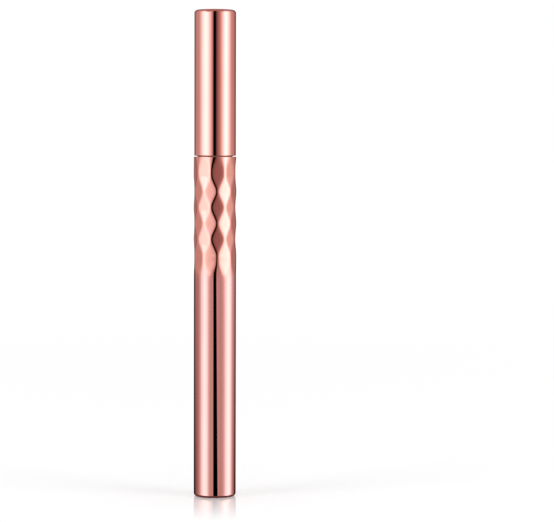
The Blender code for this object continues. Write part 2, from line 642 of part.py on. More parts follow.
def cap_spring(parts):
    """Coil spring round the inner cap's stem, from its shoulder to the liner's end."""
    low = INNER_CAP_SHOULDER_Z + PLUG_FIT + SPRING_WIRE_RADIUS
    high = LINER_CEILING_Z - PLUG_FIT - SPRING_WIRE_RADIUS
    gap = (high - low) / SPRING_CURLS - 2 * SPRING_WIRE_RADIUS
    print(f"cap_spring: least gap between curls {gap / MM:.2f} mm")
    curve = bpy.data.curves.new("coil", "CURVE")
    curve.dimensions = "3D"
    curve.bevel_depth = SPRING_WIRE_RADIUS
    curve.bevel_resolution = 1
    curve.use_fill_caps = True
    coil = curve.splines.new("POLY")
    last = SPRING_CURLS * SPRING_CURL_POINTS
    coil.points.add(last)
    for index, point in enumerate(coil.points):
        turn = 2 * math.pi * index / SPRING_CURL_POINTS
        z = low + (high - low) * index / last
        point.co = (SPRING_RADIUS * math.cos(turn), SPRING_RADIUS * math.sin(turn), z, 1.0)
    add_part("cap_spring", curve, steel(), parts)


def build():
    """Build every piece of the pen into one collection."""
    for leftover in list(bpy.data.objects):
        bpy.data.objects.remove(leftover)
    parts = bpy.data.collections.new("eyeliner_pen")
    bpy.context.scene.collection.children.link(parts)
    pen = (barrel_shell, neck_sleeve, holder_base, seal_ring, nib_holder, nib_sleeve, nib)
    feed = (ink_tank, tank_plug, tank_seal, collector, feed_rod, mixing_balls)
    cap = (cap_shell, cap_liner, inner_cap, cap_spring)
    for make in pen + feed + cap:
        make(parts)


build()
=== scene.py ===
# %% [markdown]
# # Dressing a liquid eyeliner pen
#
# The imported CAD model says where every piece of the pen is. This lesson builds the pieces again with
# fine meshes and procedural finishes, places them on the same bodies, and lights them as a product
# photographer would. The pen stands on its base along Z, and its front looks towards -Y.

# %% Load the frame
import json
import math

import bmesh
import bpy
import numpy as np
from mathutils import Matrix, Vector

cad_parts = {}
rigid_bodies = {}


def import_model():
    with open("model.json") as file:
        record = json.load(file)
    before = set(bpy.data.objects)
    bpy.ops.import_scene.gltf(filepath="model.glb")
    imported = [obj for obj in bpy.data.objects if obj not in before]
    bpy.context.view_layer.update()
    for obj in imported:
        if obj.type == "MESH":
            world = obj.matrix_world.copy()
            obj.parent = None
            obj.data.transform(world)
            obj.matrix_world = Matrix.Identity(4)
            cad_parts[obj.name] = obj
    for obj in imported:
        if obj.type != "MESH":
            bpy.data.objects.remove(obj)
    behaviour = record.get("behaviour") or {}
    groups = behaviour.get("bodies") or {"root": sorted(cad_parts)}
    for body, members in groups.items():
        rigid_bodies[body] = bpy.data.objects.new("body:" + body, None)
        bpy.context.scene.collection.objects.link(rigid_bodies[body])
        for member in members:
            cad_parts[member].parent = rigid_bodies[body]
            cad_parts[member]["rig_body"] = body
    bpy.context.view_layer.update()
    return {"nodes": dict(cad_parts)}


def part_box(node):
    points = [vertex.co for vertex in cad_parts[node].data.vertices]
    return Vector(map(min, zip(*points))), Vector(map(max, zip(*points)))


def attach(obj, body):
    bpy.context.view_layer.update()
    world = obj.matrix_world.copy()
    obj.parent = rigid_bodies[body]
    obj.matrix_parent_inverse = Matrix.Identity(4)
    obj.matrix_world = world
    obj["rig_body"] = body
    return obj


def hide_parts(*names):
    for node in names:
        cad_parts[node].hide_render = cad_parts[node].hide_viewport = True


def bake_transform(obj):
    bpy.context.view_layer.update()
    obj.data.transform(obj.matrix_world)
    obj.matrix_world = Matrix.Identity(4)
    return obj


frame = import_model()
MM = 0.001

# %% [markdown]
# ## Camera
#
# A product picture of something this slim is taken with a long lens from some way off, so that its
# edges stay almost parallel. The camera is level with the seam between cap and barrel, a little to
# the right of the pen, and tips down slightly to take in the base.

# %% Camera
PICTURE_WIDTH = 554
SCALE_MM_PER_PIXEL = 0.2860
EYE_HEIGHT = 97.4 * MM
CAMERA_DISTANCE = 683.0 * MM
CAMERA_SIDE = 17.69 * MM
CAMERA_DIP_DEG = 2.505
CAMERA_ROLL_DEG = -0.13
SENSOR_WIDTH = 36.0

camera_data = bpy.data.cameras.new("camera")
camera_data.sensor_width = SENSOR_WIDTH
view_width = PICTURE_WIDTH * SCALE_MM_PER_PIXEL * MM
camera_data.lens = SENSOR_WIDTH * CAMERA_DISTANCE / view_width
camera = bpy.data.objects.new("camera", camera_data)
bpy.context.scene.collection.objects.link(camera)
camera.location = (CAMERA_SIDE, -CAMERA_DISTANCE, EYE_HEIGHT)
camera.rotation_euler = (math.radians(90 - CAMERA_DIP_DEG), math.radians(CAMERA_ROLL_DEG), 0.0)
bpy.context.scene.camera = camera
bpy.context.scene.view_settings.view_transform = "Standard"
print("lens in mm:", round(camera_data.lens, 1))

# %% [markdown]
# ## Surroundings
#
# The background is plain white wherever the camera, a reflection or a transparent piece looks at it,
# and a softer grey-white for the light that falls on matt surfaces. Light Path tells the rays apart.

# %% World
WORLD_LIGHT = 0.65
WHITE = (1, 1, 1, 1)


def link(tree, source, target):
    """Connect an output socket to an input socket."""
    tree.links.new(source, target)


def set_inputs(node, **values):
    """Set input sockets of a node. Their names have _ for each space here."""
    for name, value in values.items():
        node.inputs[name.replace("_", " ")].default_value = value


def add_node(tree, kind, **values):
    """Add a node and set its input sockets."""
    node = tree.nodes.new(kind)
    set_inputs(node, **values)
    return node


def calculate(tree, operation, first, second):
    """Feed two sockets to a Math node and return its result."""
    node = add_node(tree, "ShaderNodeMath")
    node.operation = operation
    link(tree, first, node.inputs[0])
    link(tree, second, node.inputs[1])
    return node.outputs["Value"]


world = bpy.data.worlds.new("studio")
world.use_nodes = True
bpy.context.scene.world = world
tree = world.node_tree
tree.nodes.clear()
path = add_node(tree, "ShaderNodeLightPath")
seen = calculate(tree, "MAXIMUM", path.outputs["Is Camera Ray"], path.outputs["Is Glossy Ray"])
seen = calculate(tree, "MAXIMUM", seen, path.outputs["Is Transmission Ray"])
falling = add_node(tree, "ShaderNodeBackground", Color=WHITE, Strength=WORLD_LIGHT)
white = add_node(tree, "ShaderNodeBackground", Color=WHITE, Strength=1.0)
choice = add_node(tree, "ShaderNodeMixShader")
link(tree, seen, choice.inputs["Fac"])
link(tree, falling.outputs["Background"], choice.inputs[1])
link(tree, white.outputs["Background"], choice.inputs[2])
world_output = add_node(tree, "ShaderNodeOutputWorld")
link(tree, choice.outputs["Shader"], world_output.inputs["Surface"])
print("light that falls from the world:", WORLD_LIGHT)

# %% [markdown]
# ## Floor
#
# The pen stands on white acrylic. A coat over a matt base gives the faint mirror image just below the
# pen's base, and the matt base takes the soft contact shadow. The coat is an egg-shaped patch that
# reaches furthest to the front and fades out, as polish does on a worn board. A little emission for
# camera rays alone lifts the floor to the white of the background without lighting the pen.

# %% Floor material
FLOOR_TONE = (0.86, 0.86, 0.86, 1)
FLOOR_ROUGHNESS = 0.6
POLISH_ROUGHNESS = 0.06
POLISH_IOR = 1.75
POLISH_FROM = 8.0 * MM
POLISH_TO = 48.0 * MM
POLISH_NARROWING = 2.1
LIFT_NEAR = 0.30
LIFT_FAR = 0.46
LIFT_REACH = 1200.0 * MM


def new_material(name):
    """An empty material with its Principled shader and output."""
    material = bpy.data.materials.new(name)
    material.use_nodes = True
    tree = material.node_tree
    tree.nodes.clear()
    shader = add_node(tree, "ShaderNodeBsdfPrincipled")
    output = add_node(tree, "ShaderNodeOutputMaterial")
    link(tree, shader.outputs["BSDF"], output.inputs["Surface"])
    return material, shader


def length(tree, vector):
    """The length of a vector, as a socket."""
    node = add_node(tree, "ShaderNodeVectorMath")
    node.operation = "LENGTH"
    link(tree, vector, node.inputs[0])
    return node.outputs["Value"]


floor_material, shader = new_material("white_acrylic")
tree = floor_material.node_tree
set_inputs(
    shader, Base_Color=FLOOR_TONE, Roughness=FLOOR_ROUGHNESS, Specular_IOR_Level=0.0,
    Coat_Roughness=POLISH_ROUGHNESS, Coat_IOR=POLISH_IOR, Emission_Color=WHITE)
place = add_node(tree, "ShaderNodeTexCoord").outputs["Object"]

# Of two stretched places the larger counts, and at the back that is the one with the short reach
egg = add_node(tree, "ShaderNodeVectorMath")
egg.operation = "MAXIMUM"
for socket, lengthways in enumerate((1, POLISH_NARROWING)):
    stretched = add_node(tree, "ShaderNodeVectorMath")
    stretched.operation = "MULTIPLY"
    stretched.inputs[1].default_value = (POLISH_NARROWING, lengthways, 1)
    link(tree, place, stretched.inputs[0])
    link(tree, stretched.outputs["Vector"], egg.inputs[socket])
polish = add_node(
    tree, "ShaderNodeMapRange", From_Min=POLISH_FROM, From_Max=POLISH_TO, To_Min=1.0, To_Max=0.0)
link(tree, length(tree, egg.outputs["Vector"]), polish.inputs["Value"])
link(tree, polish.outputs["Result"], shader.inputs["Coat Weight"])

spread = add_node(
    tree, "ShaderNodeMapRange", From_Min=0.0, From_Max=LIFT_REACH, To_Min=LIFT_NEAR, To_Max=LIFT_FAR)
link(tree, length(tree, place), spread.inputs["Value"])
path = add_node(tree, "ShaderNodeLightPath")
lift = calculate(tree, "MULTIPLY", path.outputs["Is Camera Ray"], spread.outputs["Result"])
link(tree, lift, shader.inputs["Emission Strength"])
print("polish ends", round(POLISH_TO / MM), "mm in front of the pen's axis")

# %% Floor board
FLOOR_HALF_WIDTH = 30.0
FLOOR_DROP = 0.02 * MM

floor_mesh = bpy.data.meshes.new("floor")
reach = FLOOR_HALF_WIDTH
floor_corners = [(-reach, -reach, 0), (reach, -reach, 0), (reach, reach, 0), (-reach, reach, 0)]
floor_mesh.from_pydata(floor_corners, [], [(0, 1, 2, 3)])
floor_mesh.materials.append(floor_material)
floor = bpy.data.objects.new("floor", floor_mesh)
floor.location.z = -FLOOR_DROP
floor.visible_glossy = False
bpy.context.scene.collection.objects.link(floor)
print("floor laid at z = 0")

# %% [markdown]
# ## Reflections
#
# A mirror finish shows only what stands around it. Photographers surround such a pen with bright
# softboxes and dark flags, and leave a black gap for the lens. Here round screens do this. Each of
# their points glows as strongly as the softbox or flag that would stand there, and only reflections
# see them. One material serves every screen: its colour comes from the mesh, and it is clear from
# behind. Dim flags glow warm and bright softboxes a little cool.

# %% Glowing material
GLOW_LEVELS = [0.0, 0.3, 0.7, 1.1, 1.4]
RED_TINT = [1.45, 1.40, 1.06, 0.92, 0.86]
BLUE_TINT = [1.0, 1.0, 0.98, 0.99, 1.06]

screen_material = bpy.data.materials.new("softboxes_and_flags")
screen_material.use_nodes = True
tree = screen_material.node_tree
tree.nodes.clear()
glow = add_node(tree, "ShaderNodeAttribute")
glow.attribute_name = "glow"
emitter = add_node(tree, "ShaderNodeEmission", Strength=1.0)
clear = add_node(tree, "ShaderNodeBsdfTransparent")
side = add_node(tree, "ShaderNodeNewGeometry")
one_sided = add_node(tree, "ShaderNodeMixShader")
output = add_node(tree, "ShaderNodeOutputMaterial")
link(tree, glow.outputs["Color"], emitter.inputs["Color"])
link(tree, side.outputs["Backfacing"], one_sided.inputs["Fac"])
link(tree, emitter.outputs["Emission"], one_sided.inputs[1])
link(tree, clear.outputs["BSDF"], one_sided.inputs[2])
link(tree, one_sided.outputs["Shader"], output.inputs["Surface"])


def tinted(strengths):
    """Colours of glows from their strengths."""
    red, blue = (strengths * np.interp(strengths, GLOW_LEVELS, tint) for tint in (RED_TINT, BLUE_TINT))
    return np.stack([red, strengths, blue, np.ones_like(strengths)], axis=-1)


def show_in_reflections(name, points, faces, glows):
    """Make a card with a glow at each point and put it in the scene, where only reflections see it."""
    mesh = bpy.data.meshes.new(name)
    mesh.from_pydata(points, [], faces)
    mesh.attributes.new("glow", "FLOAT_COLOR", "POINT").data.foreach_set("color", np.ravel(glows))
    mesh.materials.append(screen_material)
    card = bpy.data.objects.new(name, mesh)
    bpy.context.scene.collection.objects.link(card)
    card.visible_camera = False
    card.visible_diffuse = False
    card.visible_shadow = False
    card.visible_transmission = False
    print(name, "points:", len(points))


print("material of every screen:", screen_material.name)

# %% [markdown]
# ### Screens
#
# Each point of a screen stands where a mirror as wide as the pen shows its bearing. So a bearing says
# where on the pen its stripe falls, and a screen close by needs the same bearings as one far away.
# Flat round cards above and below the pen face straight down or up.

# %% Screen helpers
MIRROR_RADIUS = 6.0 * MM
LIGHTS_TURN_DEG = -1.5
LIGHTS_MIDDLE_DEG = math.degrees(math.atan2(CAMERA_SIDE, CAMERA_DISTANCE)) + LIGHTS_TURN_DEG
CARD_CORNERS = 48


def screen(name, arcs, edge, step=1):
    """Join arcs of (radius, height, glows), each with the next one, or two by two if the step is 2."""
    bearings = np.arange(-edge, edge + 1)
    points, faces = [], []
    for radius, height, _ in arcs:
        parallax = np.arcsin(MIRROR_RADIUS * np.sin(np.radians(bearings / 2)) / radius)
        turned = np.radians(bearings + LIGHTS_MIDDLE_DEG) - parallax
        heights = np.full(len(bearings), height)
        points += np.stack([radius * np.sin(turned), -radius * np.cos(turned), heights], axis=-1).tolist()
    for first in range(0, len(arcs) - 1, step):
        for corner in range(first * len(bearings), (first + 1) * len(bearings) - 1):
            above = corner + len(bearings)
            faces.append((corner, above, above + 1, corner + 1))
    show_in_reflections(name, points, faces, [glows for _, _, glows in arcs])


def level_card(name, radius, height, strength, faces_up):
    """A round card of one strength that lies level and faces up or down."""
    turns = [2 * math.pi * corner / CARD_CORNERS for corner in range(CARD_CORNERS)]
    points = [(radius * math.cos(turned), radius * math.sin(turned), height) for turned in turns]
    face = list(range(CARD_CORNERS))
    glows = tinted(np.full(CARD_CORNERS, strength))
    show_in_reflections(name, points, [face if faces_up else face[::-1]], glows)


print("middle of the lights in degrees:", round(LIGHTS_MIDDLE_DEG, 2))

# %% [markdown]
# ### Wide screen
#
# The wide screen serves the cap and the grip. Its softboxes end 200 mm above the floor and are dim
# beyond that, except at the sides, where taller ones outline the cap's end. Its lower half, which
# only the grip looks at from the front, is a little warmer and in places weaker than the upper half.

# %% Wide screen
WIDE_RADIUS = 450 * MM
WIDE_FOOT = -420 * MM
WIDE_EDGE_DEG = 172
HALVES_BLEND = 5 * MM
SOFTBOX_TOP = 200 * MM
SOFTBOX_FADE = 50 * MM
CEILING_HEIGHT = 460 * MM
LOWER_HALF_TINT = np.array([1.0, 0.985, 0.94, 1.0])
# The most that the screen glows above its softboxes: in front, and beyond the bearings at the sides
GLOW_ABOVE = (0.8, 2.2)
SIDES_DEG = (48, 53)
# Bearing from the middle of the lights, positive to the right, and how strongly a screen glows there
WIDE_STOPS = [
    (-172, 0.1), (-157, 0.1), (-148, 0.3), (-141, 0.34), (-134, 0.12), (-129, 0.45), (-124, 0.66),
    (-110, 0.6), (-102, 0.65), (-94, 0.85), (-86, 1.2), (-78, 1.7), (-66, 2.65), (-56, 2.95), (-45, 2.92),
    (-38, 2.55), (-29, 1.75), (-17, 0.8), (-11, 0.4), (-9.5, 0.2), (-7.5, 0.03), (-5, 0.0), (3.5, 0.0),
    (6.5, 0.04), (10, 0.15), (27, 0.5), (39, 1.2), (51, 2.3), (59, 3.1), (70, 3.0), (77, 2.5),
    (92, 1.32), (103, 0.76), (112, 0.62), (124, 0.55), (131, 0.44), (139, 0.4), (143, 0.08), (172, 0.08),
]
LOWER_SHARES = [
    (-90, 1.0), (-76, 0.86), (-60, 0.8), (-46, 0.82), (-35, 1.0), (44, 0.98), (52, 0.98), (62, 0.97),
    (74, 0.93), (110, 0.93),
]

wide_bearings = np.arange(-WIDE_EDGE_DEG, WIDE_EDGE_DEG + 1)
upper_glow = np.interp(wide_bearings, *zip(*WIDE_STOPS))
lower_glow = upper_glow * np.interp(wide_bearings, *zip(*LOWER_SHARES))
dim_glow = np.minimum(upper_glow, np.interp(np.abs(wide_bearings), SIDES_DEG, GLOW_ABOVE))
# Two arcs share each row of colours: for the lower half, the softboxes, and what is above them
colours = [tinted(lower_glow) * LOWER_HALF_TINT, tinted(upper_glow), tinted(dim_glow)]
heights = [WIDE_FOOT, EYE_HEIGHT - HALVES_BLEND, EYE_HEIGHT, SOFTBOX_TOP]
heights += [SOFTBOX_TOP + SOFTBOX_FADE, CEILING_HEIGHT]
wide_arcs = [(WIDE_RADIUS, height, colours[index // 2]) for index, height in enumerate(heights)]
screen("wide_screen", wide_arcs, WIDE_EDGE_DEG)

# %% [markdown]
# ### Close louvres
#
# Close cards round the plain barrel give it its own, calmer stripes in a slightly cooler light. They
# are louvres: stacks of thin level slats that glow upwards only. The barrel's mirror looks down on
# them, as the camera does, while the polish on the floor looks up and sees nothing of them. Each slat
# is deep enough that a reflection from the barrel can't pass between two of them. The top slats pass
# gradually into the wide screen behind them, so that no edge shows at the grip's foot.

# %% Close louvres
SLAT_RADIUS = 28 * MM
SLAT_FOOT = -20 * MM
SLAT_TOP = 68 * MM
SLAT_BLEND = 7 * MM
SLAT_PITCH = 0.5 * MM
SLAT_OVERLAP = 1.2
SLAT_EDGE_DEG = 168
CLOSE_CARDS_TINT = np.array([0.97, 1.06, 1.11, 1.0])
CLOSE_STOPS = [
    (-168, 0.03), (-150, 0.03), (-145, 0.07), (-138, 0.14), (-128, 0.36), (-116, 0.41), (-106, 0.38),
    (-97, 0.55), (-89, 0.75), (-82, 1.17), (-75, 1.65), (-68, 2.02), (-61, 2.36), (-55, 2.44),
    (-49, 2.27), (-43, 2.0), (-38, 1.5), (-32, 1.02), (-26, 0.73), (-20, 0.63), (-9, 0.66), (16, 0.69),
    (23, 0.61), (34, 0.56), (46, 0.71), (52, 0.96), (58, 1.35), (64, 1.9), (71, 2.24), (78, 2.56),
    (85, 2.6), (92, 2.28), (100, 1.73), (109, 1.07), (119, 0.7), (131, 0.54), (138, 0.3), (145, 0.1),
    (150, 0.05), (168, 0.03),
]
# Edges of the black gap for the lens, at the top and at the foot of the cards, and its side flags
LENS_GAP_TOP = (-7.8, 10.0)
LENS_GAP_FOOT = (-7.0, 20.0)
LENS_GAP_HEIGHT = 59 * MM
GAP_SOFTNESS = 1.5
FLAG_DEG = (95, 140)


def close_glow(bearings, share):
    """Strengths of the cards. Their gap and flags grow from the top, share 1, to the foot, share 0."""
    left, right = (foot + (top - foot) * share for foot, top in zip(LENS_GAP_FOOT, LENS_GAP_TOP))
    outside = np.maximum(left - bearings, bearings - right)
    open_share = np.interp(outside, [-GAP_SOFTNESS, GAP_SOFTNESS], [0, 1])
    flag = (1 - share) * np.interp(np.abs(bearings), FLAG_DEG, [0, 1])
    return np.interp(bearings, *zip(*CLOSE_STOPS)) * open_share * (1 - flag)


slat_bearings = np.arange(-SLAT_EDGE_DEG, SLAT_EDGE_DEG + 1)
wide_part = tinted(np.interp(slat_bearings, wide_bearings, lower_glow)) * LOWER_HALF_TINT
slat_arcs = []
for height in np.arange(SLAT_FOOT, SLAT_TOP, SLAT_PITCH):
    depth = SLAT_OVERLAP * SLAT_PITCH * CAMERA_DISTANCE / (EYE_HEIGHT - height)
    own = min(1.0, (SLAT_TOP - height) / SLAT_BLEND)
    share = min(1.0, (height - SLAT_FOOT) / (LENS_GAP_HEIGHT - SLAT_FOOT))
    close_part = tinted(close_glow(slat_bearings, share)) * CLOSE_CARDS_TINT
    slat_glow = own * close_part + (1 - own) * wide_part
    slat_arcs += [(SLAT_RADIUS, height, slat_glow), (SLAT_RADIUS + depth, height, slat_glow)]
screen("close_louvres", slat_arcs, SLAT_EDGE_DEG, step=2)

# %% [markdown]
# ### Ceiling flag and base shade
#
# A dark flag overhead draws the thin dark line along the top edge of the cap. A dark shade under the
# base draws the one at the barrel's foot.

# %% Ceiling flag and base shade
CEILING_GLOW = 0.35
SHADE_RADIUS = 6.9 * MM
SHADE_DROP = 0.05 * MM
SHADE_GLOW = 0.1

level_card("ceiling_flag", WIDE_RADIUS, CEILING_HEIGHT, CEILING_GLOW, faces_up=False)
level_card("base_shade", SHADE_RADIUS, -SHADE_DROP, SHADE_GLOW, faces_up=True)

# %% [markdown]
# ## Lamps
#
# Matt pieces and the floor need light that falls on them. Two large soft lamps stand left and right
# of the lens. They are hidden from reflections, because the screens already show their softboxes.

# %% Lamps
LAMP_DISTANCE = 900.0 * MM
LAMP_HEIGHT = 420.0 * MM
LAMP_SIZE = 500.0 * MM
LAMP_POWER = 2.2
LAMP_BEARINGS = {"left_softbox": -55.0, "right_softbox": 60.0}

for name, bearing in LAMP_BEARINGS.items():
    lamp = bpy.data.objects.new(name, bpy.data.lights.new(name, "AREA"))
    lamp.data.size = LAMP_SIZE
    lamp.data.energy = LAMP_POWER
    angle = math.radians(bearing)
    place = Vector((LAMP_DISTANCE * math.sin(angle), -LAMP_DISTANCE * math.cos(angle), LAMP_HEIGHT))
    lamp.location = place
    lamp.rotation_euler = (Vector((0, 0, EYE_HEIGHT / 2)) - place).to_track_quat("-Z", "Y").to_euler()
    lamp.visible_camera = False
    lamp.visible_glossy = False
    bpy.context.scene.collection.objects.link(lamp)
print("lamps:", ", ".join(LAMP_BEARINGS))

# %% [markdown]
# ## Effects that several finishes share
#
# No surface is perfectly even. Moulded plastic, plating and fibre all drift a little in tone and
# gloss, and carry a fine relief. Each effect is a node group with its own scale and strength, so that
# every material can use it at the size that its surface has. All of them read object coordinates,
# which are metres here.

# %% Group helpers


def new_group(name, inputs, outputs):
    """A shader node group with float or colour inputs and outputs, and its two end nodes."""
    group = bpy.data.node_groups.new(name, "ShaderNodeTree")
    for label, kind in inputs.items():
        group.interface.new_socket(label, in_out="INPUT", socket_type=kind)
    for label, kind in outputs.items():
        group.interface.new_socket(label, in_out="OUTPUT", socket_type=kind)
    return group, group.nodes.new("NodeGroupInput"), group.nodes.new("NodeGroupOutput")


def noise_at(group, vector, scale, detail):
    """A noise texture read at a vector, and its value as a socket."""
    noise = add_node(group, "ShaderNodeTexNoise", Detail=detail)
    link(group, vector, noise.inputs["Vector"])
    link(group, scale, noise.inputs["Scale"])
    return noise.outputs["Fac"]


print("made:", new_group.__name__, "and", noise_at.__name__)

# %% Shared effects
# The colour sockets of a Mix node share their names with others, so they go by number
MIX_FIRST, MIX_SECOND, MIX_RESULT = 6, 7, 2
# Noise seldom leaves this band, so it is spread over the whole range of roughness
NOISE_BAND = (0.3, 0.7)
DRIFT_DETAIL, HAZE_DETAIL, RELIEF_DETAIL = 2.0, 4.0, 3.0


def drift_group():
    """Slow drift between two tones over the surface."""
    sockets = {"Scale": "NodeSocketFloat", "First": "NodeSocketColor", "Second": "NodeSocketColor"}
    group, start, end = new_group("tone_drift", sockets, {"Color": "NodeSocketColor"})
    place = add_node(group, "ShaderNodeTexCoord").outputs["Object"]
    mix = add_node(group, "ShaderNodeMix")
    mix.data_type = "RGBA"
    link(group, noise_at(group, place, start.outputs["Scale"], DRIFT_DETAIL), mix.inputs["Factor"])
    link(group, start.outputs["First"], mix.inputs[MIX_FIRST])
    link(group, start.outputs["Second"], mix.inputs[MIX_SECOND])
    link(group, mix.outputs[MIX_RESULT], end.inputs["Color"])
    return group


def haze_group():
    """Roughness that wanders between two levels, as handling and moulding leave it."""
    sockets = {"Scale": "NodeSocketFloat", "Least": "NodeSocketFloat", "Most": "NodeSocketFloat"}
    group, start, end = new_group("gloss_haze", sockets, {"Roughness": "NodeSocketFloat"})
    place = add_node(group, "ShaderNodeTexCoord").outputs["Object"]
    spread = add_node(group, "ShaderNodeMapRange", From_Min=NOISE_BAND[0], From_Max=NOISE_BAND[1])
    link(group, noise_at(group, place, start.outputs["Scale"], HAZE_DETAIL), spread.inputs["Value"])
    link(group, start.outputs["Least"], spread.inputs["To Min"])
    link(group, start.outputs["Most"], spread.inputs["To Max"])
    link(group, spread.outputs["Result"], end.inputs["Roughness"])
    return group


def relief_group():
    """Fine relief as a height in metres, even in all directions or drawn out along Z."""
    sockets = {"Scale": "NodeSocketFloat", "Stretch": "NodeSocketFloat", "Depth": "NodeSocketFloat"}
    group, start, end = new_group("fine_relief", sockets, {"Height": "NodeSocketFloat"})
    place = add_node(group, "ShaderNodeTexCoord").outputs["Object"]
    parts = add_node(group, "ShaderNodeSeparateXYZ")
    drawn = add_node(group, "ShaderNodeCombineXYZ")
    link(group, place, parts.inputs["Vector"])
    link(group, parts.outputs["X"], drawn.inputs["X"])
    link(group, parts.outputs["Y"], drawn.inputs["Y"])
    squeezed = calculate(group, "DIVIDE", parts.outputs["Z"], start.outputs["Stretch"])
    link(group, squeezed, drawn.inputs["Z"])
    grain = noise_at(group, drawn.outputs["Vector"], start.outputs["Scale"], RELIEF_DETAIL)
    height = calculate(group, "MULTIPLY", grain, start.outputs["Depth"])
    link(group, height, end.inputs["Height"])
    return group


tone_drift = drift_group()
gloss_haze = haze_group()
fine_relief = relief_group()
print("effects:", ", ".join(group.name for group in (tone_drift, gloss_haze, fine_relief)))

# %% [markdown]
# ## Finishes
#
# Every finish is one Principled shader with the three effects in front of it. A call gives the two
# tones, the range of gloss, and the grain: its size, how far it is drawn out along the pen, and how
# deep it is. What is the same all over the surface, such as Metallic, is set on the shader itself.

# %% Finish helper


def place_group(tree, group, **values):
    """Put one of the shared effects into a material with its own values."""
    node = add_node(tree, "ShaderNodeGroup")
    node.node_tree = group
    set_inputs(node, **values)
    return node


def finish(name, tones, gloss, grain, drift_mm=9.0, haze_mm=3.0, **shader_values):
    """A material from two tones, a range of roughness, and a grain of (size, stretch, depth) in mm."""
    material, shader = new_material(name)
    set_inputs(shader, **shader_values)
    tree = material.node_tree
    first, second = ((*tone, 1) for tone in tones)
    drift = place_group(tree, tone_drift, Scale=1 / (drift_mm * MM), First=first, Second=second)
    link(tree, drift.outputs["Color"], shader.inputs["Base Color"])
    haze = place_group(tree, gloss_haze, Scale=1 / (haze_mm * MM), Least=gloss[0], Most=gloss[1])
    link(tree, haze.outputs["Roughness"], shader.inputs["Roughness"])
    size, stretch, depth = grain
    relief = place_group(tree, fine_relief, Scale=1 / (size * MM), Stretch=stretch, Depth=depth * MM)
    bump = add_node(tree, "ShaderNodeBump", Strength=1.0, Distance=1.0)
    link(tree, relief.outputs["Height"], bump.inputs["Height"])
    link(tree, bump.outputs["Normal"], shader.inputs["Normal"])
    return material


print("each finish has drift, haze and relief")

# %% [markdown]
# ### Rose gold plating
#
# The barrel, neck and cap are plastic with a thin mirror plating under a tinted lacquer. The plating
# reflects sharply, but lacquer always lies in very low waves, which blur the edges of the stripes a
# little. The neck's foot, which is pressed into the barrel, carries a matt band of painted shade that
# darkens the seam.

# %% Rose gold plating
rose_gold = finish(
    "rose_gold_plating", [(0.80, 0.335, 0.285), (0.76, 0.305, 0.262)], (0.035, 0.06), (2.2, 2.5, 0.001),
    drift_mm=14.0, haze_mm=5.0, Metallic=1.0)
# Painted shade: the matt band at the neck's foot, which darkens the seam
seam_shade_finish = finish(
    "painted_seam_shade", [(0.56, 0.42, 0.37), (0.50, 0.37, 0.32)], (0.50, 0.65), (0.12, 1.0, 0.002))
print("plating:", rose_gold.name, "and", seam_shade_finish.name)

# %% [markdown]
# ### Black plastics
#
# The front section is moulded in black plastic with a fine satin grain. The pieces come from
# different tools and batches, so their blacks differ slightly: the lower ring leans to green and the
# thin ring on the flange is a soft, faintly purple black. The nib's sleeve reflects least, so it is
# the darkest. The sheen of all is a little warm, which keeps their image of the cool softboxes a
# neutral grey.

# %% Black plastics
BLACK_SHEEN = (1.0, 0.87, 0.82, 1.0)
BLACK_SPECULAR = 0.38
SLEEVE_SPECULAR = 0.17
BLACK_TONES = [(0.0015, 0.0015, 0.0017), (0.0026, 0.0026, 0.0029)]
SATIN_GRAIN = (0.12, 1.0, 0.001)

satin_black = finish(
    "satin_black_plastic", BLACK_TONES, (0.08, 0.13), SATIN_GRAIN,
    Specular_IOR_Level=BLACK_SPECULAR, Specular_Tint=BLACK_SHEEN)
sleeve_black = finish(
    "sleeve_black_plastic", BLACK_TONES, (0.09, 0.14), SATIN_GRAIN,
    Specular_IOR_Level=SLEEVE_SPECULAR, Specular_Tint=BLACK_SHEEN)
ring_black = finish(
    "satin_ring_plastic", [(0.0035, 0.0045, 0.0038), (0.0050, 0.0065, 0.0052)], (0.14, 0.20),
    SATIN_GRAIN, Specular_IOR_Level=BLACK_SPECULAR, Specular_Tint=BLACK_SHEEN)
seal_rubber = finish(
    "seal_rubber", [(0.0060, 0.0048, 0.0080), (0.0090, 0.0070, 0.0115)], (0.26, 0.34),
    (0.08, 1.0, 0.002), Specular_IOR_Level=BLACK_SPECULAR, Specular_Tint=BLACK_SHEEN)
print("blacks:", satin_black.name, sleeve_black.name, ring_black.name, seal_rubber.name)

# %% [markdown]
# ### Fibres
#
# The nib and the feed rod are bundles of fibres along the pen. Their grain is drawn out along Z.
# Ink makes them black and gives the nib a moist sheen.

# %% Fibres
INK_SPECULAR = 0.25

inked_fibre = finish(
    "inked_fibre", [(0.0035, 0.0035, 0.0040), (0.0100, 0.0100, 0.0110)], (0.28, 0.42),
    (0.09, 14.0, 0.006), drift_mm=0.8, haze_mm=0.5,
    Specular_IOR_Level=INK_SPECULAR, Specular_Tint=BLACK_SHEEN)
wick_fibre = finish(
    "wick_fibre", [(0.030, 0.030, 0.034), (0.065, 0.065, 0.070)], (0.70, 0.88), (0.12, 20.0, 0.012),
    drift_mm=0.8, haze_mm=0.6)
print("fibres:", inked_fibre.name, wick_fibre.name)

# %% [markdown]
# ### Natural plastic and steel
#
# The liner, the inner cap and the ink system are uncoloured plastic. It is milky, so some light
# travels through it. The spring and the mixing balls are bright steel with fine drawing lines.

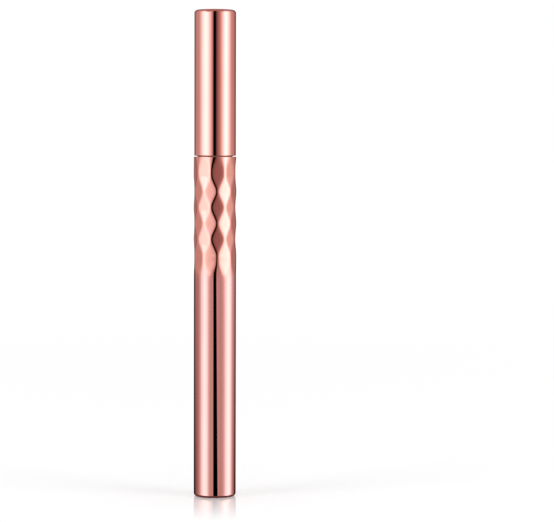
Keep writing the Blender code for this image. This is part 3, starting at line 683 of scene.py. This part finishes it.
# %% Natural plastic and steel
natural_plastic = finish(
    "natural_plastic", [(0.80, 0.80, 0.77), (0.74, 0.74, 0.71)], (0.34, 0.46), (0.35, 1.0, 0.002),
    Subsurface_Weight=0.25, Subsurface_Radius=(1.0, 0.9, 0.8), Subsurface_Scale=0.8 * MM)
bright_steel = finish(
    "bright_steel", [(0.72, 0.72, 0.73), (0.64, 0.64, 0.66)], (0.16, 0.28), (0.06, 6.0, 0.0015),
    Metallic=1.0)
print("inside finishes:", natural_plastic.name, bright_steel.name)

# %% [markdown]
# ## Turned pieces
#
# Nearly every piece of a pen is round. Its outline is drawn once, from the axis outwards, and turned
# about Z. A real moulding has no sharp corner, so each corner of the outline carries its own small
# rounding. A guard point just before and after each rounding keeps the long walls flat in shading,
# which matters on a mirror finish.

# %% Rounded outlines
ARC_STEPS = 5
GUARD = 0.04


def rounded(corners):
    """Round an outline of (radius, height, rounding) corners in mm and return its points."""
    closed = corners[0][0] > 0
    points = []
    for index, (radius, height, rounding) in enumerate(corners):
        here = Vector((radius, height))
        if rounding == 0 or (not closed and index in (0, len(corners) - 1)):
            points.append((radius, height))
            continue
        before = Vector(corners[index - 1][:2]) - here
        after = Vector(corners[(index + 1) % len(corners)][:2]) - here
        back, ahead = before.normalized(), after.normalized()
        half = math.acos(max(-1.0, min(1.0, back.dot(ahead)))) / 2
        reach = rounding / math.tan(half)
        centre = here + (back + ahead).normalized() * rounding / math.sin(half)
        start, end = here + back * reach, here + ahead * reach
        first = math.atan2(start.y - centre.y, start.x - centre.x)
        swing = (math.atan2(end.y - centre.y, end.x - centre.x) - first + math.pi) % (2 * math.pi) - math.pi
        if before.length > 2 * (reach + GUARD):
            points.append(tuple(start + back * GUARD))
        for step in range(ARC_STEPS + 1):
            angle = first + swing * step / ARC_STEPS
            points.append((centre.x + rounding * math.cos(angle), centre.y + rounding * math.sin(angle)))
        if after.length > 2 * (reach + GUARD):
            points.append(tuple(end + ahead * GUARD))
    return points


print("rounded corners have", ARC_STEPS + 1, "points each")

# %% Turning helpers
ON_AXIS = 0.001
SHARP_DEG = 32.0
ROUND_COLUMNS = 128


def finished_mesh(name, shape):
    """A smooth mesh of a built shape, with its faces outwards and an edge where it bends strongly."""
    bmesh.ops.recalc_face_normals(shape, faces=shape.faces)
    mesh = bpy.data.meshes.new(name)
    shape.to_mesh(mesh)
    shape.free()
    mesh.shade_smooth()
    mesh.set_sharp_from_angle(angle=math.radians(SHARP_DEG))
    return mesh


def turn(name, points, columns):
    """Turn an outline in mm about Z into a closed mesh in metres."""
    shape = bmesh.new()
    rings = []
    for radius, height in points:
        if radius < ON_AXIS:
            rings.append([shape.verts.new((0, 0, height * MM))] * columns)
            continue
        ring = []
        for column in range(columns):
            angle = 2 * math.pi * column / columns
            across, back = radius * math.sin(angle), -radius * math.cos(angle)
            ring.append(shape.verts.new((across * MM, back * MM, height * MM)))
        rings.append(ring)
    pairs = list(zip(rings, rings[1:]))
    if points[0][0] > 0:
        pairs.append((rings[-1], rings[0]))
    for upper, lower in pairs:
        for column in range(columns):
            beside = (column + 1) % columns
            around = [upper[column], upper[beside], lower[beside], lower[column]]
            shape.faces.new(list(dict.fromkeys(around)))
    return finished_mesh(name, shape)


print("most round pieces have", ROUND_COLUMNS, "columns")

# %% [markdown]
# ## Dressing a node
#
# A dressed piece stands for one node of the CAD model. It rides on the node's body, so that it moves
# with the joints, it hides the plain solid, and it carries its finish.

# %% Dressing helpers


def new_piece(name, mesh, material):
    """Put a mesh into the scene with its material."""
    mesh.materials.append(material)
    piece = bpy.data.objects.new(name, mesh)
    bpy.context.scene.collection.objects.link(piece)
    return piece


def dress(name, mesh, node, material):
    """Let a mesh stand for a CAD node and ride on that node's body."""
    piece = new_piece(name, mesh, material)
    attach(piece, frame["nodes"][node]["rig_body"])
    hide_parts(node)
    return piece


def dress_turned(name, corners, node, material):
    """Turn a rounded outline and dress a node with it."""
    return dress(name, turn(name, rounded(corners), ROUND_COLUMNS), node, material)


print("dressing helpers ready for", len(frame["nodes"]), "nodes")

# %% [markdown]
# ## Barrel
#
# The barrel is one plated tube with a blind base. It is turned as a plain tube first, with many
# levels along the grip, because that stretch is carved afterwards.

# %% Barrel outline
BARREL_RADIUS = 6.04
BARREL_BORE = 5.05
BARREL_LENGTH = 97.32
BARREL_FLOOR = 1.6
BASE_ROUNDING = 0.9
RIM_BEVEL = 0.16
BARREL_COLUMNS = 216
GRIP_TOP = BARREL_LENGTH - 2 * RIM_BEVEL
GRIP_BOTTOM = 63.4
GRIP_LEVELS = 190

outline = [(0.0, BARREL_FLOOR, 0), (BARREL_BORE, BARREL_FLOOR, 0.4), (BARREL_BORE, BARREL_LENGTH, 0.05)]
outline += [(BARREL_RADIUS, BARREL_LENGTH, RIM_BEVEL)]
upper_points = rounded(outline + [(BARREL_RADIUS, GRIP_TOP, 0), (0.0, GRIP_TOP, 0)])[:-2]
lower_corners = [(0.0, GRIP_BOTTOM, 0), (BARREL_RADIUS, GRIP_BOTTOM, 0), (BARREL_RADIUS, 0.0, BASE_ROUNDING)]
lower_points = rounded(lower_corners + [(0.0, 0.0, 0)])[2:]
grip_heights = np.linspace(GRIP_TOP, GRIP_BOTTOM, GRIP_LEVELS)
barrel_points = upper_points + [(BARREL_RADIUS, float(z)) for z in grip_heights] + lower_points
print("barrel outline points:", len(barrel_points))

# %% [markdown]
# ### Grip
#
# Below the barrel's mouth, six staggered rows of nine shallow scoops form the grip. A large round
# cutter would leave each scoop flat across and slightly hollow along the pen. Plating softens the
# ridges between them, so the radius is a smooth minimum over the nearest scoops, which blends them
# with a small rounding and needs no separate bevel.

# %% Grip shape
GRIP_FACETS = 9
GRIP_ROWS = 6
ROW_PITCH = 4.53
FIRST_ROW = 91.95
GRIP_TURN_DEG = 8.7
SHARP_RIDGE = 6.23
END_RUN = 1.3
BLEND = 0.08
LIMIT_RISE = 0.11


def scoop_distance(row, height):
    """Distance from the axis to the middle line of a row's scoops at each height."""
    flat = SHARP_RIDGE * math.cos(math.pi / GRIP_FACETS)
    away = height - (FIRST_ROW - row * ROW_PITCH)
    if row == 0:
        away = np.where(away > 0, np.maximum(0.0, away - END_RUN), away)
    if row == GRIP_ROWS - 1:
        away = np.where(away < 0, np.minimum(0.0, away + END_RUN), away)
    return flat + (SHARP_RIDGE - flat) * (away / ROW_PITCH) ** 2


def grip_limit(height):
    """The plain barrel's radius at both ends of the grip, and more than the ridges between them."""
    last_row = FIRST_ROW - (GRIP_ROWS - 1) * ROW_PITCH
    rise = (GRIP_TOP - height) / (GRIP_TOP - FIRST_ROW)
    fall = (height - GRIP_BOTTOM) / (last_row - GRIP_BOTTOM)
    share = np.clip(np.minimum(rise, fall), 0, 1)
    return BARREL_RADIUS + LIMIT_RISE * share * share * (3 - 2 * share)


def grip_radius(angle, height):
    """Radius of the grip: a smooth minimum over the nearest scoops and the plain barrel."""
    facet = 2 * math.pi / GRIP_FACETS
    total = np.exp(-grip_limit(height) / BLEND)
    for row in range(GRIP_ROWS):
        stagger = facet / 2 if row % 2 else 0.0
        off = (angle - math.radians(GRIP_TURN_DEG) - stagger + facet / 2) % facet - facet / 2
        for side in (-facet, 0.0, facet):
            distance = scoop_distance(row, height) / np.cos(off + side)
            total = total + np.exp(-distance / BLEND)
    return -BLEND * np.log(total)


print("a facet spans", 360 / GRIP_FACETS, "degrees and a row", ROW_PITCH, "mm")

# %% Carved barrel
barrel_mesh = turn("barrel", barrel_points, BARREL_COLUMNS)
places = np.zeros(len(barrel_mesh.vertices) * 3)
barrel_mesh.vertices.foreach_get("co", places)
places = places.reshape(-1, 3)
x, y, z = places.T / MM
carved = (np.hypot(x, y) > BARREL_BORE + GUARD) & (z < GRIP_TOP + GUARD / 2) & (z > GRIP_BOTTOM - GUARD / 2)
angle = np.arctan2(x, -y)
radius = np.where(carved, grip_radius(angle, z), np.hypot(x, y))
places[:, 0] = radius * np.sin(angle) * MM
places[:, 1] = -radius * np.cos(angle) * MM
barrel_mesh.vertices.foreach_set("co", places.ravel())
barrel_mesh.update()
dress("barrel", barrel_mesh, "barrel_shell", rose_gold)
print("grip radius in mm:", round(radius[carved].min(), 2), "to", round(radius[carved].max(), 2))

# %% [markdown]
# ## Neck
#
# A plated ring pressed into the barrel's mouth carries the front section, and the cap slides over it.
# Only its top four and a half millimetres show when the pen is open. Just above the barrel's rim, a
# matt band is painted shade: it draws a fine dark line round the neck, and darkens the seam when the cap is
# on.

# %% Neck
NECK_RADIUS = 5.15
NECK_TAIL_RADIUS = 4.95
NECK_BORE = 4.40
NECK_BOTTOM = 88.25
NECK_SHOULDER = 97.45
NECK_TOP = 102.0
SEAM_SHADE_TOP = 97.75

corners = [(NECK_BORE, NECK_BOTTOM, 0.08), (NECK_BORE, NECK_TOP, 0.08), (NECK_RADIUS, NECK_TOP, 0.45)]
corners += [(NECK_RADIUS, SEAM_SHADE_TOP, 0), (NECK_RADIUS, NECK_SHOULDER, 0.03)]
corners += [(NECK_TAIL_RADIUS, NECK_SHOULDER, 0), (NECK_TAIL_RADIUS, NECK_BOTTOM, 0.15)]
neck = dress_turned("neck", corners, "neck_sleeve", rose_gold)
# Painted shade: faces of the neck's foot band take the dark seam finish
neck.data.materials.append(seam_shade_finish)
for face in neck.data.polygons:
    face.material_index = int(face.center.z < SEAM_SHADE_TOP * MM)

# %% [markdown]
# ## Holder
#
# The black holder sits in the neck. A flange rests on the neck's top, a groove above it takes the
# thin seal ring, and the lower ring stands over that. Its tail, with a groove for an O-ring, goes
# down into the ink tank.

# %% Holder
HOLDER_RADIUS = 4.30
HOLDER_BORE = 3.30
FLANGE_RADIUS = 4.62
FLANGE = (102.04, 103.05)
SEAT_RADIUS = 3.66
LOWER_RING = (104.25, 106.66)
LOWER_RING_RADIUS = 4.21
LOWER_RING_TOP_RADIUS = 4.15
SHOULDER = 84.6
LEDGE = 85.2
TAIL_FOOT = 78.6
TAIL_RADIUS = 3.95
TAIL_BORE = 2.40
GROOVE = (81.22, 81.98)
GROOVE_RADIUS = 3.39

corners = [(TAIL_BORE, TAIL_FOOT, 0.15), (TAIL_BORE, LEDGE, 0.1), (HOLDER_BORE, LEDGE, 0.1)]
corners += [(HOLDER_BORE, LOWER_RING[1], 0.08), (LOWER_RING_TOP_RADIUS, LOWER_RING[1], 0.1)]
corners += [(LOWER_RING_RADIUS, LOWER_RING[0], 0.1), (SEAT_RADIUS, LOWER_RING[0], 0.05)]
corners += [(SEAT_RADIUS, FLANGE[1], 0.05), (FLANGE_RADIUS, FLANGE[1], 0.13)]
corners += [(FLANGE_RADIUS, FLANGE[0], 0.06), (HOLDER_RADIUS, FLANGE[0], 0.05)]
corners += [(HOLDER_RADIUS, SHOULDER, 0.2), (TAIL_RADIUS, SHOULDER, 0.05)]
corners += [(TAIL_RADIUS, GROOVE[1], 0.05), (GROOVE_RADIUS, GROOVE[1], 0.05)]
corners += [(GROOVE_RADIUS, GROOVE[0], 0.05), (TAIL_RADIUS, GROOVE[0], 0.05), (TAIL_RADIUS, TAIL_FOOT, 0.3)]
dress_turned("holder", corners, "holder_base", ring_black)

# %% [markdown]
# ## Seal ring
#
# A thin soft ring lies in the holder's groove. It is a little proud of the ring above it, and the
# fine dark lines on both of its sides are the gaps where it meets ring and flange.

# %% Seal ring
SEAL_RADIUS = 4.30
SEAL_BORE = 3.76
SEAL = (103.08, 104.22)

corners = [(SEAL_BORE, SEAL[0], 0.1), (SEAL_BORE, SEAL[1], 0.1)]
corners += [(SEAL_RADIUS, SEAL[1], 0.2), (SEAL_RADIUS, SEAL[0], 0.2)]
dress_turned("seal", corners, "seal_ring", seal_rubber)

# %% [markdown]
# ## Nib holder
#
# The upper front section has a collar, which widens a little down to the low lip that clicks under
# the cap's bead, and a long concave cone. The cone's curve is close to straight at the nose and flares
# quickly at its foot.

# %% Nib holder
COLLAR_RADIUS = 4.12
COLLAR = (106.70, 109.65)
COLLAR_FLARE = 0.057
LIP_RADIUS = 4.28
LIP_HEIGHT = 0.6
CONE_FOOT_RADIUS = 3.54
CONE_NOSE_RADIUS = 2.52
CONE_TOP = 121.4
CONE_LEVELS = 22
STRAIGHT_SHARE = 0.3
FLARE_POWER = 3.5
NOSE_BORE = 1.75
NOSE_FLOOR = 117.4
THROAT_BORE = 1.5
PLUG_FOOT = 102.6
PLUG_RADIUS = 3.20


def cone_radius(share):
    """Radius of the concave cone at a share of the way from its nose to its foot."""
    curve = STRAIGHT_SHARE * share + (1 - STRAIGHT_SHARE) * share**FLARE_POWER
    return CONE_NOSE_RADIUS + (CONE_FOOT_RADIUS - CONE_NOSE_RADIUS) * curve


cone_height = CONE_TOP - COLLAR[1]
corners = [(THROAT_BORE, PLUG_FOOT, 0.1), (THROAT_BORE, NOSE_FLOOR, 0), (NOSE_BORE, NOSE_FLOOR, 0)]
corners += [(NOSE_BORE, CONE_TOP, 0.08), (cone_radius(0.0), CONE_TOP, 0.18)]
for level in range(1, CONE_LEVELS):
    share = level / CONE_LEVELS
    corners.append((cone_radius(share), CONE_TOP - cone_height * share, 0))
corners += [(cone_radius(1.0), COLLAR[1], 0.12), (COLLAR_RADIUS, COLLAR[1], 0.25)]
corners += [(COLLAR_RADIUS + COLLAR_FLARE, COLLAR[0] + 2 * LIP_HEIGHT, 0.2)]
corners += [(LIP_RADIUS, COLLAR[0] + LIP_HEIGHT, 0.12), (COLLAR_RADIUS, COLLAR[0], 0.05)]
corners += [(PLUG_RADIUS, COLLAR[0], 0.05), (PLUG_RADIUS, PLUG_FOOT, 0.2)]
dress_turned("cone", corners, "nib_holder", satin_black)

# %% [markdown]
# ## Nib sleeve
#
# A small black step in front of the cone grips the nib. Its tail goes down into the cone's nose.

# %% Nib sleeve
SLEEVE_RADIUS = 2.05
SLEEVE_TOP_RADIUS = 1.98
SLEEVE_BORE = 1.10
SLEEVE_TAIL_RADIUS = 1.65
SLEEVE = (121.44, 125.0)
SLEEVE_FOOT = 117.6

corners = [(SLEEVE_BORE, SLEEVE_FOOT, 0.1), (SLEEVE_BORE, SLEEVE[1], 0.08)]
corners += [(SLEEVE_TOP_RADIUS, SLEEVE[1], 0.25), (SLEEVE_RADIUS, SLEEVE[0], 0.05)]
corners += [(SLEEVE_TAIL_RADIUS, SLEEVE[0], 0.05), (SLEEVE_TAIL_RADIUS, SLEEVE_FOOT, 0.2)]
dress_turned("sleeve", corners, "nib_sleeve", sleeve_black)

# %% [markdown]
# ## Nib
#
# The nib is a bundle of soft fibres drawn to a fine point. Its fibres show as shallow flutes, which
# run out towards the tip.

# %% Nib
NIB_RADIUS = 1.07
NIB_TIP = 133.1
NIB_FOOT = 116.5
NIB_LENGTH = NIB_TIP - SLEEVE[1]
NIB_TIP_RADIUS = 0.07
TIP_ROUNDING_SHARES = (0.7, 0.3)
NIB_BELLY = 0.03
NIB_LEVELS = 40
NIB_COLUMNS = 144
FIBRES = 24
FLUTE_DEPTH = 0.016


def nib_radius(share):
    """Radius of the nib's point at a share of the way from its tip to its foot."""
    straight = NIB_TIP_RADIUS + (NIB_RADIUS - NIB_TIP_RADIUS) * share
    return straight + 4 * NIB_BELLY * NIB_RADIUS * share * (1 - share)


inwards, down = TIP_ROUNDING_SHARES
points = [(0.0, NIB_TIP), (NIB_TIP_RADIUS * inwards, NIB_TIP - NIB_TIP_RADIUS * down)]
for level in range(NIB_LEVELS + 1):
    share = level / NIB_LEVELS
    points.append((nib_radius(share), NIB_TIP - NIB_TIP_RADIUS - (NIB_LENGTH - NIB_TIP_RADIUS) * share))
points += [(NIB_RADIUS, NIB_FOOT), (0.0, NIB_FOOT)]
nib_mesh = turn("nib_point", points, NIB_COLUMNS)
for vertex in nib_mesh.vertices:
    x, y, z = vertex.co / MM
    radius = math.hypot(x, y)
    depth = FLUTE_DEPTH * radius / NIB_RADIUS
    scale = 1 - depth * (0.5 - 0.5 * math.cos(FIBRES * math.atan2(x, -y))) / max(radius, NIB_TIP_RADIUS)
    vertex.co.x *= scale
    vertex.co.y *= scale
dress("nib_point", nib_mesh, "nib", inked_fibre)

# %% [markdown]
# ## Ink tank
#
# Inside the barrel a milky tube holds the ink. A plug closes it below, and the holder's tail with its
# O-ring closes it above.

# %% Tank and plug
TANK_RADIUS = 4.80
TANK_BORE = 4.05
TANK = (3.0, 84.4)
# Heights of the plug's foot, of its flange's top, and of its top
TANK_PLUG = (1.8, 2.8, 6.8)
PLUG_WALL = 1.0

corners = [(TANK_BORE, TANK[0], 0.15), (TANK_BORE, TANK[1], 0.15)]
corners += [(TANK_RADIUS, TANK[1], 0.15), (TANK_RADIUS, TANK[0], 0.15)]
dress_turned("tank", corners, "ink_tank", natural_plastic)
hollow = TAIL_RADIUS - PLUG_WALL
corners = [(0.0, TANK_PLUG[2], 0), (TAIL_RADIUS, TANK_PLUG[2], 0.4), (TAIL_RADIUS, TANK_PLUG[1], 0.05)]
corners += [(TANK_RADIUS, TANK_PLUG[1], 0.1), (TANK_RADIUS, TANK_PLUG[0], 0.2), (hollow, TANK_PLUG[0], 0.2)]
corners += [(hollow, TANK_PLUG[2] - PLUG_WALL, 0.3), (0.0, TANK_PLUG[2] - PLUG_WALL, 0)]
dress_turned("plug", corners, "tank_plug", natural_plastic)

# %% O-ring
CORD_RADIUS = 0.28
CORD_MIDDLE_RADIUS = 3.72
CORD_HEIGHT = 81.6
CORD_STEPS = 20

points = []
for step in range(CORD_STEPS):
    angle = 2 * math.pi * step / CORD_STEPS
    out, up = CORD_RADIUS * math.cos(angle), CORD_RADIUS * math.sin(angle)
    points.append((CORD_MIDDLE_RADIUS + out, CORD_HEIGHT + up))
dress("o_ring", turn("o_ring", points, ROUND_COLUMNS), "tank_seal", seal_rubber)

# %% [markdown]
# ## Ink feed
#
# Between tank and nib a finned comb holds back surplus ink, and a fibre rod through its middle leads
# the ink on. Two steel balls in the tank stir the ink when the pen is shaken.

# %% Collector
COLLECTOR_RADIUS = 3.10
COLLECTOR_CORE = 1.70
COLLECTOR_BORE = 0.95
COLLECTOR = (85.4, 102.4)
FINS = 11
FIN_SHARE = 0.45

pitch = (COLLECTOR[1] - COLLECTOR[0]) / (FINS - 1 + FIN_SHARE)
corners = [(COLLECTOR_BORE, COLLECTOR[0], 0.05), (COLLECTOR_BORE, COLLECTOR[1], 0.05)]
for fin in range(FINS):
    top = COLLECTOR[1] - fin * pitch
    foot = top - pitch * FIN_SHARE
    corners += [(COLLECTOR_RADIUS, top, 0.12), (COLLECTOR_RADIUS, foot, 0.12)]
    if fin < FINS - 1:
        corners += [(COLLECTOR_CORE, foot, 0.15), (COLLECTOR_CORE, top - pitch, 0.15)]
dress_turned("comb", corners, "collector", natural_plastic)

# %% Feed rod and mixing balls
ROD_RADIUS = 0.85
ROD = (66.0, 116.3)
BALL_RADIUS = 1.5
BALL_STEPS = 24

corners = [(0.0, ROD[1], 0), (ROD_RADIUS, ROD[1], 0.12), (ROD_RADIUS, ROD[0], 0.12), (0.0, ROD[0], 0)]
dress_turned("rod", corners, "feed_rod", wick_fibre)
for number in (1, 2):
    low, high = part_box(f"mixing_ball_{number}")
    middle = (low + high) / 2
    points = []
    for step in range(BALL_STEPS + 1):
        angle = math.pi * step / BALL_STEPS
        points.append((BALL_RADIUS * math.sin(angle), BALL_RADIUS * math.cos(angle)))
    ball_mesh = turn(f"ball_{number}", points, 2 * BALL_STEPS)
    for vertex in ball_mesh.vertices:
        vertex.co += middle
    dress(f"ball_{number}_steel", ball_mesh, f"mixing_ball_{number}", bright_steel)

# %% [markdown]
# ## Cap
#
# The cap is a plated cup. Its end is softly domed with a generous rounding, and a small bevel at its
# mouth catches the light along the seam.

# %% Cap
CAP_RADIUS = 5.94
CAP_BORE = 5.4
CAP = (97.59, 139.2)
CAP_CEILING = 138.2
CAP_DOME = 0.12
CAP_ROUNDING = 0.92
MOUTH_BEVEL = 0.16
CROWN_STEPS = 8
CROWN_SHARE = 0.84

corners = [(0.0, CAP_CEILING, 0), (CAP_BORE, CAP_CEILING, 0.3), (CAP_BORE, CAP[0], 0.05)]
corners += [(CAP_RADIUS, CAP[0], MOUTH_BEVEL), (CAP_RADIUS, CAP[1] - CAP_DOME, CAP_ROUNDING)]
for step in range(1, CROWN_STEPS + 1):
    share = CROWN_SHARE * (1 - step / CROWN_STEPS)
    corners.append((CAP_RADIUS * share, CAP[1] - CAP_DOME * share**2, 0))
dress_turned("cap", corners, "cap_shell", rose_gold)

# %% [markdown]
# ## Inside the cap
#
# A milky liner is pressed into the cap. Its bead clicks under the collar's lip, and the rib above the
# bead stops the small inner cap, which closes over the nib and keeps it moist.

# %% Liner
LINER_RADIUS = 5.3
LINER_BORE = 4.9
LINER = (102.4, 138.0)
LINER_CEILING = 137.2
BEAD_BORE = 4.35
BEAD = (105.55, 106.35)
RIB = (107.8, 108.5)

corners = [(0.0, LINER[1], 0), (LINER_RADIUS, LINER[1], 0.3), (LINER_RADIUS, LINER[0], 0.1)]
corners += [(LINER_BORE, LINER[0], 0.1), (LINER_BORE, BEAD[0], 0.05), (BEAD_BORE, sum(BEAD) / 2, 0.15)]
corners += [(LINER_BORE, BEAD[1], 0.05), (LINER_BORE, RIB[0], 0.05), (BEAD_BORE, RIB[0], 0.1)]
corners += [(BEAD_BORE, RIB[1], 0.1), (LINER_BORE, RIB[1], 0.05), (LINER_BORE, LINER_CEILING, 0.3)]
corners += [(0.0, LINER_CEILING, 0)]
dress_turned("liner", corners, "cap_liner", natural_plastic)

# %% Inner cap
CUP_FLANGE_RADIUS = 4.75
CUP_RADIUS = 4.30
CUP_BORE = 3.70
STEM_RADIUS = 2.90
STEM_BORE = 2.30
# Heights of the flange's foot and top, of the shoulder, and of the stem's top
CUP = (109.85, 110.65, 124.5, 134.8)
CUP_WALL = 0.6

corners = [(0.0, CUP[3], 0), (STEM_RADIUS, CUP[3], 0.25), (STEM_RADIUS, CUP[2], 0.12)]
corners += [(CUP_RADIUS, CUP[2], 0.25), (CUP_RADIUS, CUP[1], 0.12), (CUP_FLANGE_RADIUS, CUP[1], 0.12)]
corners += [(CUP_FLANGE_RADIUS, CUP[0], 0.12), (CUP_BORE, CUP[0], 0.2)]
corners += [(CUP_BORE, CUP[2] - CUP_WALL, 0.25), (STEM_BORE, CUP[2] - CUP_WALL, 0.15)]
corners += [(STEM_BORE, CUP[3] - CUP_WALL, 0.3), (0.0, CUP[3] - CUP_WALL, 0)]
dress_turned("cup", corners, "inner_cap", natural_plastic)

# %% [markdown]
# ### Spring
#
# A coil spring presses the inner cap down. It has a closed coil at each end, so that it sits flat. The
# wire is a tube swept along a helix, which is close in those coils and open between them. The spring
# stretches between the cap and the inner cap, and it stands on its own, on neither body.

# %% Spring
SPRING_RADIUS = 3.42
WIRE_RADIUS = 0.22
SPRING = (124.6, 137.1)
SPRING_TURNS = 8
POINTS_PER_TURN = 32
WIRE_SIDES = 12
CLOSED_TURNS = 1.0
COIL_GAP = 0.02


def spring_height(turn_count):
    """Height of the wire's middle after a number of turns, with a closed coil at each end."""
    closed_pitch = 2 * WIRE_RADIUS + COIL_GAP
    middle = (SPRING[1] - SPRING[0]) - 2 * WIRE_RADIUS - 2 * CLOSED_TURNS * closed_pitch
    open_turns = min(max(turn_count - CLOSED_TURNS, 0), SPRING_TURNS - 2 * CLOSED_TURNS)
    share = open_turns / (SPRING_TURNS - 2 * CLOSED_TURNS)
    return SPRING[0] + WIRE_RADIUS + (turn_count - open_turns) * closed_pitch + middle * share


shape = bmesh.new()
rings = []
for index in range(SPRING_TURNS * POINTS_PER_TURN + 1):
    turned = index / POINTS_PER_TURN
    angle = 2 * math.pi * turned
    ring = []
    for side in range(WIRE_SIDES):
        around = 2 * math.pi * side / WIRE_SIDES
        out = SPRING_RADIUS + WIRE_RADIUS * math.cos(around)
        up = spring_height(turned) + WIRE_RADIUS * math.sin(around)
        ring.append(shape.verts.new((out * math.cos(angle) * MM, out * math.sin(angle) * MM, up * MM)))
    rings.append(ring)
for first, second in zip(rings, rings[1:]):
    for side in range(WIRE_SIDES):
        beside = (side + 1) % WIRE_SIDES
        shape.faces.new((first[side], first[beside], second[beside], second[side]))
shape.faces.new(rings[0])
shape.faces.new(list(reversed(rings[-1])))
spring = new_piece("spring", finished_mesh("spring", shape), bright_steel)
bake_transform(spring)
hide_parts("cap_spring")
print("spring faces:", len(spring.data.polygons))
